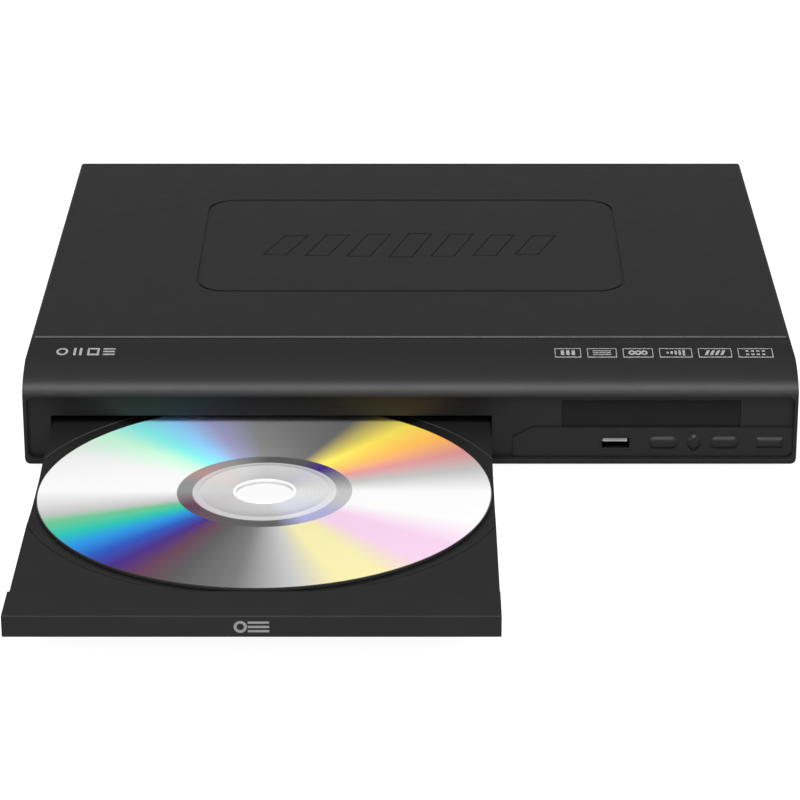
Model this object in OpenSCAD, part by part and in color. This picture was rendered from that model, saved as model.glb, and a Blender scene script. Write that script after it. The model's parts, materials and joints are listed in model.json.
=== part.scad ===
// Compact disc player with a motor-driven tray, shown with the tray out.
// X runs to the right, Y towards the back and Z up. Work inside the modules is done in
// case coordinates: Y = 0 on the front plane of the bezel and Z = 0 under the feet.
// place() then moves everything to the middle of the whole length.

/* [Case] */
// Width across the sides of the case
case_w = 214; // [212:1:236]
// Depth from the front plane of the bezel to the back edge of the cover
case_depth = 183; // [182:1:205]
// Height of the case above its feet
case_h = 28.2; // [27.6:0.2:38]
// Height of the rubber feet
foot_h = 3; // [2:0.5:8]
// Diameter of the rubber feet
foot_d = 13; // [9:0.5:18]
// Distance of the feet from the case edges
foot_inset = 16; // [12:1:26]
// Thickness of the steel sheet
sheet_t = 0.8; // [0.6:0.1:1]
// Bend radius along the top edges of the cover
cover_r = 1; // [1:0.1:2.4]
// Height of the cover's turned-down rear lip
rear_lip_h = 6; // [5:0.5:7]
// Height of the base pan's side flanges
pan_flange_h = 9; // [7:0.5:14]

/* [Top panel] */
// Width of the groove that frames the middle of the cover
panel_w = 126; // [90:1:150]
// Depth of that framed area from front to back
panel_depth = 83.5; // [60:0.5:95]
// Distance from the back edge of the cover to the framed area
panel_back = 36.6; // [20:0.2:50]
// Corner radius of the groove
panel_r = 9; // [4:0.5:16]
// Width of the groove
groove_w = 0.9; // [0.6:0.1:1.6]
// Depth of the groove
groove_depth = 0.35; // [0.2:0.05:0.45]

/* [Bezel] */
// Depth of the bezel along its top
bezel_depth = 25.4; // [24:0.2:30]
// Wall thickness of the bezel
bezel_wall = 2; // [1.6:0.1:2.4]
// Depth of the rounded brow
brow_depth = 20.5; // [17:0.5:23]
// Height of the rounded brow
brow_drop = 8; // [6:0.25:9]
// Distance from the top of the case to the lower edge of the brow
lip_drop = 7.8; // [7:0.1:8.4]
// How far the front face lies behind the brow
face_recess = 1.7; // [1.3:0.1:2]
// Width of the frame left at both ends of the face
end_frame = 1; // [0.8:0.1:1.6]
// Height of the ledge under the face
chin_h = 2.1; // [1.8:0.1:2.6]
// Radius of the bezel's lower edges
chin_r = 1.2; // [1:0.1:2.4]
// Depth of the bezel's bottom wall
skirt_depth = 11.4; // [8:0.2:12]
// How far the control pad stands proud of the face
pad_proud = 0.7; // [0.4:0.1:0.9]
// Height of the control pad above the case bottom
pad_h = 10.9; // [10.6:0.1:11.6]
// Distance from the right end of the case to the pad's left edge
pad_reach = 78.6; // [70:0.2:80]

/* [Display] */
// Width of the display window
window_w = 49.4; // [40:0.2:52]
// Height of the display window
window_h = 7.9; // [6:0.1:8.6]
// Distance from the right end of the case to the window
window_from_end = 15.7; // [14:0.1:18]
// Width of the digit module
digits_w = 34; // [28:0.5:38]
// Height of one digit
digit_h = 5.6; // [4:0.1:6]

/* [Controls] */
// Height of the button centres above the case bottom
button_rise = 6.4; // [6:0.1:6.8]
// Distance from the right end of the case to the middle button
play_from_end = 28.5; // [27:0.1:31]
// Spacing of the three left buttons
button_pitch = 8.5; // [8.2:0.1:9]
// Width of the two oval buttons
oval_w = 8; // [6:0.1:8.4]
// Height of the oval buttons
oval_h = 3.4; // [2.6:0.1:4]
// Width of the middle button
play_w = 3.6; // [3:0.1:4.4]
// Height of the middle button
play_h = 4.4; // [3.4:0.1:4.6]
// Distance from the right end of the case to the power button
power_from_end = 7.5; // [7.2:0.1:9]
// Width of the power button
power_w = 7.5; // [5:0.1:8]
// Height of the power button
power_h = 3; // [2.4:0.1:4]
// Travel of each button
button_travel = 0.6; // [0.3:0.1:0.6]
// How far a button stands out of the pad
button_proud = 0.6; // [0.4:0.1:0.9]
// Distance from the right end of the case to the data port
port_from_end = 50.15; // [48:0.1:54]
// Width of the data port's opening
port_w = 7.7; // [6.5:0.1:9]
// Height of the data port's opening
port_h = 3; // [2.8:0.1:4]

/* [Disc] */
// Diameter of the disc
disc_d = 120; // [118:0.5:121]
// Thickness of the disc
disc_t = 1.2; // [1:0.1:1.5]
// Diameter of the centre hole
disc_hole = 15; // [14.6:0.1:16]
// Radius of the stacking ring
ring_r = 17; // [15:0.5:22]

/* [Tray] */
// Distance from the left side of the case to the tray
tray_margin = 7.9; // [7.6:0.1:10]
// Width of the tray
tray_w = 121.2; // [120.8:0.2:124]
// Height of the tray's underside above the case bottom
tray_rise = 8.7; // [8.6:0.1:10]
// How far the open tray stands out in front of the bezel
tray_reach = 125.2; // [110:0.2:126]
// Length of the tray, its front included
tray_len = 153.2; // [152:0.2:155]
// Height of the tray front
door_h = 5.3; // [4.6:0.1:6]
// Depth of the tray front
door_depth = 14.1; // [10:0.1:15]
// Distance from the tray's front face to the disc's centre
disc_setback = 79.8; // [79:0.1:81]
// Height of the disc's seat above the tray's underside
seat_h = 2.2; // [2:0.1:2.4]
// Height of the tray's rim above its underside
rim_h = 3.2; // [3:0.1:3.6]
// Room between the disc's edge and the recess
seat_room = 1; // [0.6:0.1:1.4]
// Width of the sloping edge around the recess
bevel_w = 3.3; // [2:0.1:4]
// Radius of the shallow well for small discs
small_disc_r = 40.6; // [40.2:0.1:42]
// Half the width of the opening under the disc's hub
tray_slot_r = 24; // [22:0.5:26]

/* [Loader] */
// Wall thickness of the loader frame
frame_wall = 1.8; // [1.4:0.1:2]
// Thickness of the loader frame's floor
frame_floor = 1.5; // [1.2:0.1:1.8]
// Height of the loader frame's walls where they carry the bridge
frame_h = 15.7; // [15.2:0.1:18]
// Room between the tray's sides and the loader frame
tray_side_gap = 0.5; // [0.4:0.05:0.6]
// Radius of the clamping puck
puck_r = 11.8; // [10.5:0.1:13]
// Width of the steel bridge that holds the puck
bridge_w = 34; // [32:0.5:44]

/* [Tray drive] */
// Gear module
gear_module = 0.6; // [0.55:0.01:0.62]
// Teeth on the pinion under the tray
pinion_teeth = 12; // [11:1:12]
// Width of the rack and its pinion
rack_w = 2.8; // [2:0.1:3]
// Teeth on the second gear of the pinion's shaft
shaft_gear_teeth = 13; // [11:1:13]
// Teeth on the small gear beside the pulley
pulley_teeth = 10; // [10:1:12]
// Outer radius of the belt on the large pulley
belt_r = 9.5; // [8:0.1:10]
// Outer radius of the belt on the motor's pulley
motor_belt_r = 3.5; // [3.2:0.1:4]
// Distance between the two pulleys
belt_run = 32; // [30:0.5:36]
// Diameter of the loading motor
motor_d = 20; // [16:0.5:21]
// Length of the loading motor
motor_len = 22; // [18:0.5:24]

/* [Sled] */
// Diameter of the turntable
turntable_d = 29; // [26:0.5:31]
// Height of the nose that centres the disc
nose_h = 1; // [0.7:0.1:1.1]
// Diameter of the spindle motor
spindle_motor_d = 23; // [20:0.5:24]
// Radius of the guide rods
rod_r = 1; // [0.8:0.05:1.2]
// Closest distance from the spindle to the lens
lens_inner = 24; // [24:0.2:26]
// Travel of the optical pickup
pickup_travel = 34; // [30:0.5:34]
// Radius of the pivot pins
pivot_r = 1.5; // [1.2:0.05:1.6]
// Travel of the cam slider that lifts the deck
cam_travel = 20; // [16:0.5:22]

/* [Boards] */
// Thickness of the circuit boards
pcb_t = 1.6; // [1.2:0.1:2]
// Height of the posts under the boards
post_h = 5; // [4.5:0.1:6]
// Length of the main board
main_len = 84; // [74:0.5:86]
// Length of the power board
power_len = 104; // [90:0.5:106]
// Width of the power board
power_board_w = 38; // [36:0.5:39]
// Height of the transformer
transformer_h = 15; // [11:0.5:16]
// Height of the filter capacitors
capacitor_h = 15; // [10:0.5:16]

/* [Rear jacks] */
// Spacing of the round jacks
jack_pitch = 12; // [11:0.1:12.4]
// Outer radius of a jack's sleeve
sleeve_r = 4.15; // [4:0.05:4.3]
// Length of a jack's sleeve behind the panel
sleeve_len = 8.5; // [8:0.1:9.5]
// Radius of a jack's centre hole
jack_hole_r = 1.65; // [1.5:0.05:1.8]
// Width of the video port's opening
video_w = 14; // [13.8:0.1:14.4]
// Height of the video port's opening
video_h = 4.6; // [4.4:0.1:4.8]
// Distance from the right side of the case to the mains inlet's middle
inlet_from_side = 19; // [16:0.5:24]
// Width of the mains inlet's well
inlet_w = 15.6; // [15:0.1:17]
// Height of the mains inlet's well
inlet_h = 8.2; // [8:0.1:9]

/* [Hidden] */
$fn = 72;
TINY = 0.01;

// Clearances
seat_gap = 0.1;
fit_gap = 0.2;
run_gap = 0.3;
shaft_gap = 0.06;
grip_gap = 0.02;
seam_gap = 0.3;

// Levels of the case
z_base = foot_h;
z_floor = z_base + sheet_t;
z_top = z_base + case_h;
z_ceiling = z_top - sheet_t;
x_right = case_w / 2;
x_left = -case_w / 2;
cover_inner_x = x_right - sheet_t;
pan_x = cover_inner_x - fit_gap;
panel_y = case_depth - sheet_t - fit_gap;
rear_y = panel_y - sheet_t;

// Overall length, used to centre the whole part
jack_reach = panel_y + sleeve_len;
y_shift = (tray_reach - jack_reach) / 2;

// Face of the bezel
face_y = face_recess;
face_back_y = face_recess + bezel_wall;
z_lip = z_top - lip_drop;
z_chin = z_base + chin_h;
z_pad = z_base + pad_h;
pad_y = face_recess - pad_proud;
face_corner_r = 2;
z_button = z_base + button_rise;
x_play = x_right - play_from_end;
x_power = x_right - power_from_end;
x_port = x_right - port_from_end;
x_window = x_right - window_from_end - window_w / 2;
z_window = z_pad + window_h / 2;

// Front board and what stands on it
board_y = 12.6;
board_left = x_right - 71;
board_right = x_right - bezel_wall - 0.6;
board_low = z_base + bezel_wall + fit_gap;
board_high = z_window + window_h / 2 + 2;
boss_r = 2;
boss_spots = [
    [board_left + 3, z_window + 1],
    [board_left + 3, board_low + 2.6],
    [x_right - 8.5, z_window + 1]
];
stem_end_y = 8;
flange_y = face_back_y + fit_gap;

// Tray
tray_left = x_left + tray_margin;
tray_x = tray_left + tray_w / 2;
tray_right = tray_left + tray_w;
z_tray = z_base + tray_rise;
z_seat = z_tray + seat_h;
z_rim = z_tray + rim_h;
z_door = z_tray + door_h;
door_lip = 0.35;
door_lip_depth = 8;
z_disc = z_seat + 0.05;
door_y = -tray_reach;
disc_y = door_y + disc_setback;
tray_travel = tray_reach + face_recess;
tray_back_y = door_y + tray_len;
seat_r = disc_d / 2 + seat_room;
ring_width = 5.5;
slot_side = 0.4;

// Loader frame
spindle_y = disc_y + tray_travel;
frame_left = tray_left - tray_side_gap - frame_wall;
frame_right = tray_right + tray_side_gap + frame_wall;
frame_front = skirt_depth + 1.2;
frame_back = tray_back_y + tray_travel + 2.2;
z_frame = z_floor + frame_floor;
z_wall = z_floor + frame_h;
z_rail = z_tray - run_gap;
rail_t = 1;
low_wall_h = 13;
frame_screw_spots = [
    [tray_left + 14, 38], [tray_right - 16, 44],
    [tray_left + 12, frame_back - 10], [tray_right - 12, frame_back - 10]
];

// Tray drive: the pinion stands under the rack, the pulley gear above and behind it
pitch = PI * gear_module;
addendum = 0.8 * gear_module;
dedendum = 1.2 * gear_module;
tooth_play = 0.16;
rack_x = tray_right - 4.9;
rack_line_z = z_tray + addendum;
pinion_r = gear_module * pinion_teeth / 2;
pinion_y = 20;
pinion_z = rack_line_z - pinion_r;
shaft_r = 1.2;
gear_gap = 0.6;
shaft_gear_x = frame_right + gear_gap;
shaft_gear_w = 2;
mesh_angle = 55;
mesh_dist = gear_module * (shaft_gear_teeth + pulley_teeth) / 2;
pulley_y = pinion_y + mesh_dist * cos(mesh_angle);
pulley_z = pinion_z + mesh_dist * sin(mesh_angle);
pulley_pin_r = 1;
pulley_x = shaft_gear_x + shaft_gear_w + gear_gap;
pulley_w = 3;
belt_t = 1.2;
belt_w = 1.3;
groove_gap = 0.3;
motor_y = pulley_y + belt_run;
bracket_x = pulley_x + pulley_w + 0.6;
bracket_t = 1.8;
motor_x = bracket_x + bracket_t;
motor_flat = 0.77;

// Sled deck, drawn level and then lowered about its pivot
deck_x = tray_x;
pickup_half = 8.4;
turret_r = 4.4;
well_back_y = spindle_y + lens_inner + pickup_travel + pickup_half + 1.1;
deck_pivot_y = well_back_y + 1;
deck_reach = deck_pivot_y - spindle_y;
deck_pivot_z = z_tray - 2.3;
platter_z = z_disc - 0.15;
platter_t = 1.2;
deck_lower = platter_z + nose_h - (z_tray - 0.4);
deck_angle = asin(deck_lower / deck_reach);
deck_top = z_tray - 1.5;
deck_t = 1.6;
deck_half = 33.2;
deck_front_y = spindle_y - 14.5;
deck_back_y = deck_pivot_y + 2;
well_front_y = spindle_y + 14.5;
rod_x = 21;
rod_z = z_tray - 2.5;
screw_x = 28;
screw_z = z_tray - 3.8;
screw_r = 1.3;
screw_pitch = 1;
sled_motor_r = 3.2;
sled_motor_len = 11;
deck_opening_half = 38;
deck_opening_front = spindle_y - 21.5;
cam_y = spindle_y - 19;
cam_t = 2;
cam_pin_r = 0.7;
cam_play = 0.25;
cam_low = z_floor + run_gap;
cam_high = z_tray - run_gap;
cam_lever = deck_pivot_y - cam_y - cam_t / 2;
cam_lift = cam_lever * sin(deck_angle);
cam_mid_z = (cam_low + cam_high) / 2;
cam_pin_up = cam_mid_z + cam_lift / 2;
cam_pin_low = cam_mid_z - cam_lift / 2;
cam_left = 24;
cam_right = 14;

// Puck and bridge
puck_low = z_disc + disc_t + 0.6;
bridge_hole_r = puck_r + 0.7;
puck_flange_t = 1;
bridge_spots = [frame_left + 3.5, frame_right - 3.5];

// Boards beside and behind the loader
z_post = z_floor + post_h;
z_board = z_post + pcb_t;
main_left = frame_right + 10;
power_left = cover_inner_x - 1.8 - power_board_w;
power_y = rear_y - 2.2 - power_len;
jack_len = 20;
jack_y = rear_y - 0.6 - jack_len;
board_gap = 5;
main_w = power_left - board_gap - main_left;
main_back = jack_y - 3.5;
main_y = main_back - main_len;
jack_left = frame_right - 33;
jack_right = power_left - 2.2;
post_r = 2.6;
transformer_rise = 40;
transformer_len = 22;
main_posts = [
    [main_left + 3.4, main_y + 3.6], [main_left + main_w - 3.4, main_y + 3.6],
    [main_left + 3.4, main_back - 3.6], [main_left + main_w - 3.4, main_back - 3.6]
];
power_posts = [
    [power_left + 3.6, power_y + 3.6], [power_left + power_board_w - 3.6, power_y + 3.6],
    [power_left + 3.6, power_y + power_len - 3.6],
    [power_left + power_board_w - 3.6, power_y + power_len - 3.6]
];
jack_posts = [[jack_left + 3.4, jack_y + 3.6], [jack_right - 3.4, jack_y + 3.6]];
board_post_spots = concat(main_posts, power_posts, jack_posts);

// Rear jacks
jack_z = z_board + 5.4;
jack_x0 = jack_right - 5.2;
jack_xs = [for (i = [0:3]) jack_x0 - i * jack_pitch];
jack_body_y = rear_y - 10;
neck_r = sleeve_r - 0.7;
video_x = jack_xs[3] - 19;
video_z = z_board + 0.6 + video_h / 2;
video_shell = 0.5;
inlet_x = x_right - inlet_from_side;
inlet_z = z_board + 1.6 + inlet_h / 2;
inlet_body_len = 15;
inlet_pin_r = 1.2;
inlet_pin_pitch = 8.6;

// Side screws of the cover
side_screw_ys = [bezel_depth + 16, case_depth - 40];
side_screw_z = z_base + pan_flange_h / 2 + 1;
lip_screw_xs = [x_left + 16, 0, x_right - 16];
lip_screw_z = z_ceiling - rear_lip_h / 2;
screw_head_r = 2.6;
screw_head_t = 1.4;
side_screw_len = 2 * sheet_t + fit_gap + 0.1;
screw_shank_r = 1.2;
thread_r = 0.9;

// ---------------------------------------------------------------- helpers

// Moves a piece from case coordinates to the part's own frame
module place() {
    translate([0, y_shift, 0]) children();
}

// Lowers the sled deck and all that it carries to its resting angle
module on_deck() {
    translate([0, deck_pivot_y, deck_pivot_z])
        rotate([deck_angle, 0, 0])
            translate([0, -deck_pivot_y, -deck_pivot_z])
                children();
}

// Extrudes an outline drawn in Y and Z along X
module along_x(x, length) {
    translate([x, 0, 0]) rotate([90, 0, 90]) linear_extrude(length) children();
}

// Extrudes an outline drawn in X and Z along Y
module along_y(y, length) {
    translate([0, y + length, 0]) rotate([90, 0, 0]) linear_extrude(length) children();
}

// A box given by its low and high corners
module block(low, high) {
    translate(low) cube(high - low);
}

// A rod along X
module rod_x_axis(x, y, z, r, length) {
    translate([x, y, z]) rotate([0, 90, 0]) cylinder(r = r, h = length);
}

// A rod along Y
module rod_y_axis(x, y, z, r, length) {
    translate([x, y, z]) rotate([-90, 0, 0]) cylinder(r = r, h = length);
}

// Flat rectangle with round corners, centred
module rounded(w, h, r) {
    square([w - 2 * r, h], center = true);
    square([w, h - 2 * r], center = true);
    for (sx = [-1, 1], sy = [-1, 1])
        translate([sx * (w / 2 - r), sy * (h / 2 - r)]) circle(r = r);
}

// Points of the brow, from its foot at the front to its end on top
function brow(centre_y, z, a, b, steps = 14) = [
    for (i = [0:steps]) [centre_y - a * cos(90 * i / steps), z + b * sin(90 * i / steps)]
];

// Outline of a spur gear with straight-sided teeth, one tooth centred on the angle given
function gear_outline(teeth, angle) = let (
    r = gear_module * teeth / 2,
    root = r - dedendum,
    tip = r + addendum,
    half = 90 / teeth - 90 * tooth_play / (PI * r),
    lean_tip = 360 * addendum * 0.42 / (2 * PI * r),
    lean_root = 360 * dedendum * 0.3 / (2 * PI * r)
) [
    for (i = [0:teeth - 1], s = [0:3])
        let (
            a = angle + i * 360 / teeth + [-half - lean_root, -half + lean_tip,
                half - lean_tip, half + lean_root][s],
            q = (s == 0 || s == 3) ? root : tip
        ) [q * cos(a), q * sin(a)]
];

// Self-tapping screw that points down, its head resting at z
module screw_down(x, y, z, length) {
    translate([x, y, z]) {
        difference() {
            cylinder(r = screw_head_r, h = screw_head_t);
            for (a = [0, 90])
                translate([0, 0, screw_head_t]) rotate(a) cube([3, 0.7, 1.2], center = true);
        }
        translate([0, 0, -length]) cylinder(r = screw_shank_r, h = length + TINY);
    }
}

// ---------------------------------------------------------------- case

module base_pan() {
    wide = pan_x;
    narrow = x_right - bezel_wall - fit_gap;
    pan_front = skirt_depth + fit_gap;
    side_y = bezel_depth + fit_gap;
    flange_y0 = rear_y - sheet_t;
    color("silver") place() difference() {
        union() {
            block([-narrow, pan_front, z_base], [narrow, side_y + 1, z_floor]);
            block([-wide, side_y, z_base], [wide, rear_y, z_floor]);
            for (s = [-1, 1])
                translate([s * (wide - sheet_t / 2), 0, 0])
                    block([-sheet_t / 2, side_y, z_base],
                          [sheet_t / 2, rear_y, z_base + pan_flange_h]);
            block([-wide, flange_y0, z_base], [wide, rear_y, z_floor + 3.4]);
        }
        for (p = board_post_spots)
            translate([p[0], p[1], z_base - 1]) cylinder(r = screw_shank_r + seat_gap, h = 3);
        for (p = frame_screw_spots)
            translate([p[0], p[1], z_base - 1]) cylinder(r = screw_shank_r + seat_gap, h = 3);
        for (p = foot_spots())
            translate([p[0], p[1], z_base - 1]) cylinder(r = 2 + seat_gap, h = 3);
        for (s = [-1, 1], y = side_screw_ys)
            rod_x_axis(s * (wide - sheet_t / 2) - 1, y, side_screw_z,
                       screw_shank_r + seat_gap, 2);
        for (i = [0:8])
            block([main_left + 4, main_y + 12 + i * 7, z_base - 1],
                  [main_left + main_w - 4, main_y + 14 + i * 7, z_floor + 1]);
    }
}

module board_posts() {
    color("silver") place() for (p = board_post_spots)
        translate([p[0], p[1], z_floor]) difference() {
            cylinder(r = post_r, h = post_h);
            translate([0, 0, -1]) cylinder(r = screw_shank_r + seat_gap, h = post_h + 2);
        }
}

// Places of the four feet
function foot_spots() = [
    for (x = [x_left + foot_inset, x_right - foot_inset],
         y = [skirt_depth + foot_inset, case_depth - foot_inset]) [x, y]
];

module rubber_feet() {
    color("dimgray") place()
        for (p = foot_spots())
            translate([p[0], p[1], 0]) {
                cylinder(r1 = foot_d / 2 - 0.8, r2 = foot_d / 2, h = foot_h);
                cylinder(r = 2, h = foot_h + sheet_t);
            }
}

// Cross-section of the case in X and Z: round top edges, square foot
module case_section(half, top, r) {
    difference() {
        translate([-half, z_base]) square([2 * half, top - z_base]);
        for (s = [-1, 1]) translate([s * half, top])
            difference() {
                square(2 * r, center = true);
                translate([-s * r, -r]) circle(r = r);
                translate([-s * 2 * r, -2 * r]) square(2 * r, center = true);
                translate([-s * 2 * r, 0]) square([2 * r, 4 * r], center = true);
                translate([0, -2 * r]) square([4 * r, 2 * r], center = true);
            }
    }
}

module top_cover() {
    front = bezel_depth + seam_gap;
    back = case_depth - sheet_t;
    low = z_base + 0.4;
    frame_mid_y = case_depth - panel_back - panel_depth / 2;
    color([0.2, 0.2, 0.2]) place() difference() {
        union() {
            along_y(front, case_depth - front) difference() {
                case_section(x_right, z_top, cover_r);
                case_section(cover_inner_x, z_ceiling, cover_r - sheet_t);
                translate([-case_w, z_base - 1]) square([2 * case_w, low - z_base + 1]);
            }
            along_y(back, sheet_t) difference() {
                case_section(x_right, z_top, cover_r);
                translate([-case_w, 0]) square([2 * case_w, z_ceiling - rear_lip_h]);
            }
        }
        translate([0, frame_mid_y, z_top - groove_depth]) linear_extrude(2) difference() {
            rounded(panel_w, panel_depth, panel_r);
            rounded(panel_w - 2 * groove_w, panel_depth - 2 * groove_w, panel_r - groove_w);
        }
        for (s = [-1, 1], y = side_screw_ys)
            translate([s * (x_right + TINY), y, side_screw_z]) rotate([0, -s * 90, 0])
                cylinder(r1 = screw_head_r + seat_gap, r2 = screw_shank_r + seat_gap,
                         h = sheet_t + 2 * TINY);
        for (x = lip_screw_xs)
            rod_y_axis(x, back - 1, lip_screw_z, screw_shank_r + seat_gap, 3);
    }
}

module cover_screws() {
    color("dimgray") place() {
        for (s = [-1, 1], y = side_screw_ys)
            translate([s * (x_right - 0.05), y, side_screw_z]) rotate([0, -s * 90, 0])
                difference() {
                    union() {
                        cylinder(r1 = screw_head_r, r2 = screw_shank_r, h = sheet_t);
                        cylinder(r = screw_shank_r, h = side_screw_len);
                    }
                    for (a = [0, 90]) rotate(a) cube([3, 0.7, 0.8], center = true);
                }
        for (x = lip_screw_xs)
            translate([x, case_depth, lip_screw_z]) rotate([90, 0, 0]) {
                cylinder(r = screw_shank_r, h = 5);
                translate([0, 0, -screw_head_t]) difference() {
                    cylinder(r = screw_head_r, h = screw_head_t);
                    for (a = [0, 90]) rotate(a) cube([3, 0.7, 1.2], center = true);
                }
            }
    }
}

module rear_panel() {
    high = z_ceiling - seat_gap;
    vent_x0 = frame_left + 8;
    color("silver") place() difference() {
        along_y(rear_y, sheet_t) case_section(pan_x, high, cover_r - sheet_t + seat_gap);
        for (x = jack_xs)
            rod_y_axis(x, rear_y - 1, jack_z, neck_r + fit_gap, sheet_t + 2);
        translate([video_x, 0, video_z]) block(
            [-video_w / 2 - video_shell - fit_gap, rear_y - 1, -video_h / 2 - video_shell - fit_gap],
            [video_w / 2 + video_shell + fit_gap, panel_y + 1, video_h / 2 + video_shell + fit_gap]);
        translate([inlet_x, 0, inlet_z]) along_y(rear_y - 1, sheet_t + 2)
            rounded(inlet_w + 2 * sheet_t + 2 * fit_gap, inlet_h + 2 * sheet_t + 2 * fit_gap, 2);
        for (x = lip_screw_xs)
            rod_y_axis(x, rear_y - 1, lip_screw_z, screw_shank_r + seat_gap, sheet_t + 2);
        for (i = [0:11])
            block([vent_x0 + i * 5, rear_y - 1, z_base + 7], [vent_x0 + 2 + i * 5, panel_y + 1, z_base + 19]);
    }
}

// ---------------------------------------------------------------- bezel

// Side view of the bezel's outside in Y and Z
module bezel_outline() {
    lower = [for (i = [0:6]) [chin_r - chin_r * sin(15 * i), z_base + chin_r - chin_r * cos(15 * i)]];
    polygon(concat([[bezel_depth, z_base]], lower,
                   brow(brow_depth, z_top - brow_drop, brow_depth, brow_drop),
                   [[bezel_depth, z_top]]));
}

// Side view of the room inside the bezel
module bezel_room() {
    a = brow_depth - face_back_y;
    b = brow_drop - bezel_wall;
    polygon(concat([[bezel_depth + 1, z_base + bezel_wall], [face_back_y, z_base + bezel_wall]],
                   brow(brow_depth, z_top - brow_drop, a, b),
                   [[bezel_depth + 1, z_top - bezel_wall]]));
}

// Outlines of the button caps, grown by a margin for the holes that they fill
module oval_shape(grow) {
    rounded(oval_w + 2 * grow, oval_h + 2 * grow, oval_h / 2 - 0.1 + grow);
}

module play_shape(grow) {
    intersection() {
        rounded(play_w + 2 * grow, play_h + 2 * grow, 0.6 + grow);
        rotate(45) square((play_w + play_h) / 2 * 0.95 + 2 * grow, center = true);
    }
}

module power_shape(grow) {
    rounded(power_w + 2 * grow, power_h + 2 * grow, 0.4 + grow);
}

module control_holes() {
    for (s = [-1, 1])
        translate([x_play + s * button_pitch, z_button]) oval_shape(fit_gap);
    translate([x_play, z_button]) play_shape(fit_gap);
    translate([x_power, z_button]) power_shape(fit_gap);
    translate([x_port, z_button - 0.2])
        square([port_w + 0.8 + fit_gap, port_h + 0.8 + fit_gap], center = true);
}

module front_bezel() {
    face_w = case_w - 2 * end_frame;
    face_h = z_lip - z_chin;
    pad_left = x_right - pad_reach;
    pad_right = x_right - end_frame;
    pad_cut = 5.5;
    pad_cut_h = 2.8;
    side_corner_r = 2.2;
    ledge_t = 1.2;
    color([0.22, 0.22, 0.22]) place() difference() {
        union() {
            difference() {
                intersection() {
                    along_x(x_left, case_w) bezel_outline();
                    along_y(-1, bezel_depth + 2)
                        rounded_bottom_section(x_right, side_corner_r);
                }
                along_x(x_left + bezel_wall, case_w - 2 * bezel_wall) bezel_room();
                block([x_left + bezel_wall, skirt_depth, z_base - 1],
                      [x_right - bezel_wall, bezel_depth + 1, z_base + bezel_wall + 1]);
                translate([0, 0, z_chin + face_h / 2]) along_y(-1, face_y + 1)
                    rounded(face_w, face_h, face_corner_r);
            }
            along_y(pad_y, pad_proud + TINY) polygon([
                [pad_left, z_chin - TINY], [pad_left, z_pad - pad_cut_h],
                [pad_left + pad_cut, z_pad], [pad_right, z_pad], [pad_right, z_chin - TINY]]);
            for (p = boss_spots)
                rod_y_axis(p[0], face_back_y - TINY, p[1], boss_r, board_y - face_back_y + TINY);
            block([x_left + 4, bezel_depth - 1, z_ceiling - ledge_t],
                  [x_right - 4, bezel_depth + 4, z_ceiling]);
        }
        block([tray_left - slot_side, -1, z_tray - door_lip - run_gap],
              [tray_right + slot_side, face_back_y + 1, z_door + fit_gap]);
        block([x_window - window_w / 2, -1, z_pad],
              [x_window + window_w / 2, face_back_y + 1, z_pad + window_h]);
        along_y(-1, face_back_y + 2) control_holes();
        for (p = boss_spots)
            rod_y_axis(p[0], face_back_y + 2, p[1], thread_r + grip_gap, board_y);
    }
}

// Cross-section of the bezel: round top edges like the cover, rounder at the bottom
module rounded_bottom_section(half, r) {
    difference() {
        case_section(half, z_top, cover_r);
        for (s = [-1, 1]) difference() {
            translate([s * (half - r / 2) - r / 2 - (s < 0 ? 1 : 0), z_base - 1]) square([r + 1, r + 1]);
            translate([s * (half - r), z_base + r]) circle(r = r);
        }
    }
}

module display_window() {
    flange = 1;
    color([0.08, 0.08, 0.09]) place() {
        translate([x_window, 0, z_window]) along_y(face_y + fit_gap, face_back_y - face_y - fit_gap + TINY)
            square([window_w - seat_gap, window_h - seat_gap], center = true);
        translate([x_window, 0, z_window]) along_y(face_back_y, 1)
            square([window_w + 2 * flange, window_h + 2 * flange], center = true);
    }
}

module display_module() {
    color("black") place()
        block([x_window - digits_w / 2, face_back_y + 1.6, z_window - window_h / 2],
              [x_window + digits_w / 2, board_y, z_window + window_h / 2]);
}

// One seven-bar digit of height h, drawn in X and Z around its middle
module digit(h) {
    bar = h / 9;
    w = h * 0.5;
    for (z = [-1, 0, 1]) translate([0, z * (h / 2 - bar / 2)]) square([w - 2.4 * bar, bar], center = true);
    for (x = [-1, 1], z = [-1, 1])
        translate([x * (w / 2 - bar / 2), z * h / 4]) square([bar, h / 2 - 1.5 * bar], center = true);
}

module display_segments() {
    step = digits_w / 5;
    color("gainsboro") place() translate([x_window, 0, z_window])
        along_y(face_back_y + 1.5, 0.1) {
            for (i = [-2, -1, 1, 2]) translate([(i - sign(i) * 0.3) * step, 0]) digit(digit_h);
            for (z = [-1, 1]) translate([0, z * digit_h / 5]) square(digit_h / 9, center = true);
        }
}

module front_board() {
    color("darkgreen") place() difference() {
        block([board_left, board_y, board_low], [board_right, board_y + pcb_t, board_high]);
        for (p = boss_spots)
            rod_y_axis(p[0], board_y - 1, p[1], screw_shank_r + seat_gap, pcb_t + 2);
    }
}

module tact_switches() {
    side = 6;
    plunger_y = stem_end_y + button_travel + fit_gap;
    color("dimgray") place()
        for (x = [x_play - button_pitch, x_play, x_play + button_pitch, x_power]) {
            translate([x - side / 2, board_y - 2.8, z_button - side / 2]) cube([side, 2.8, side]);
            rod_y_axis(x, plunger_y, z_button, 1.5, board_y - plunger_y);
        }
}

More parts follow.
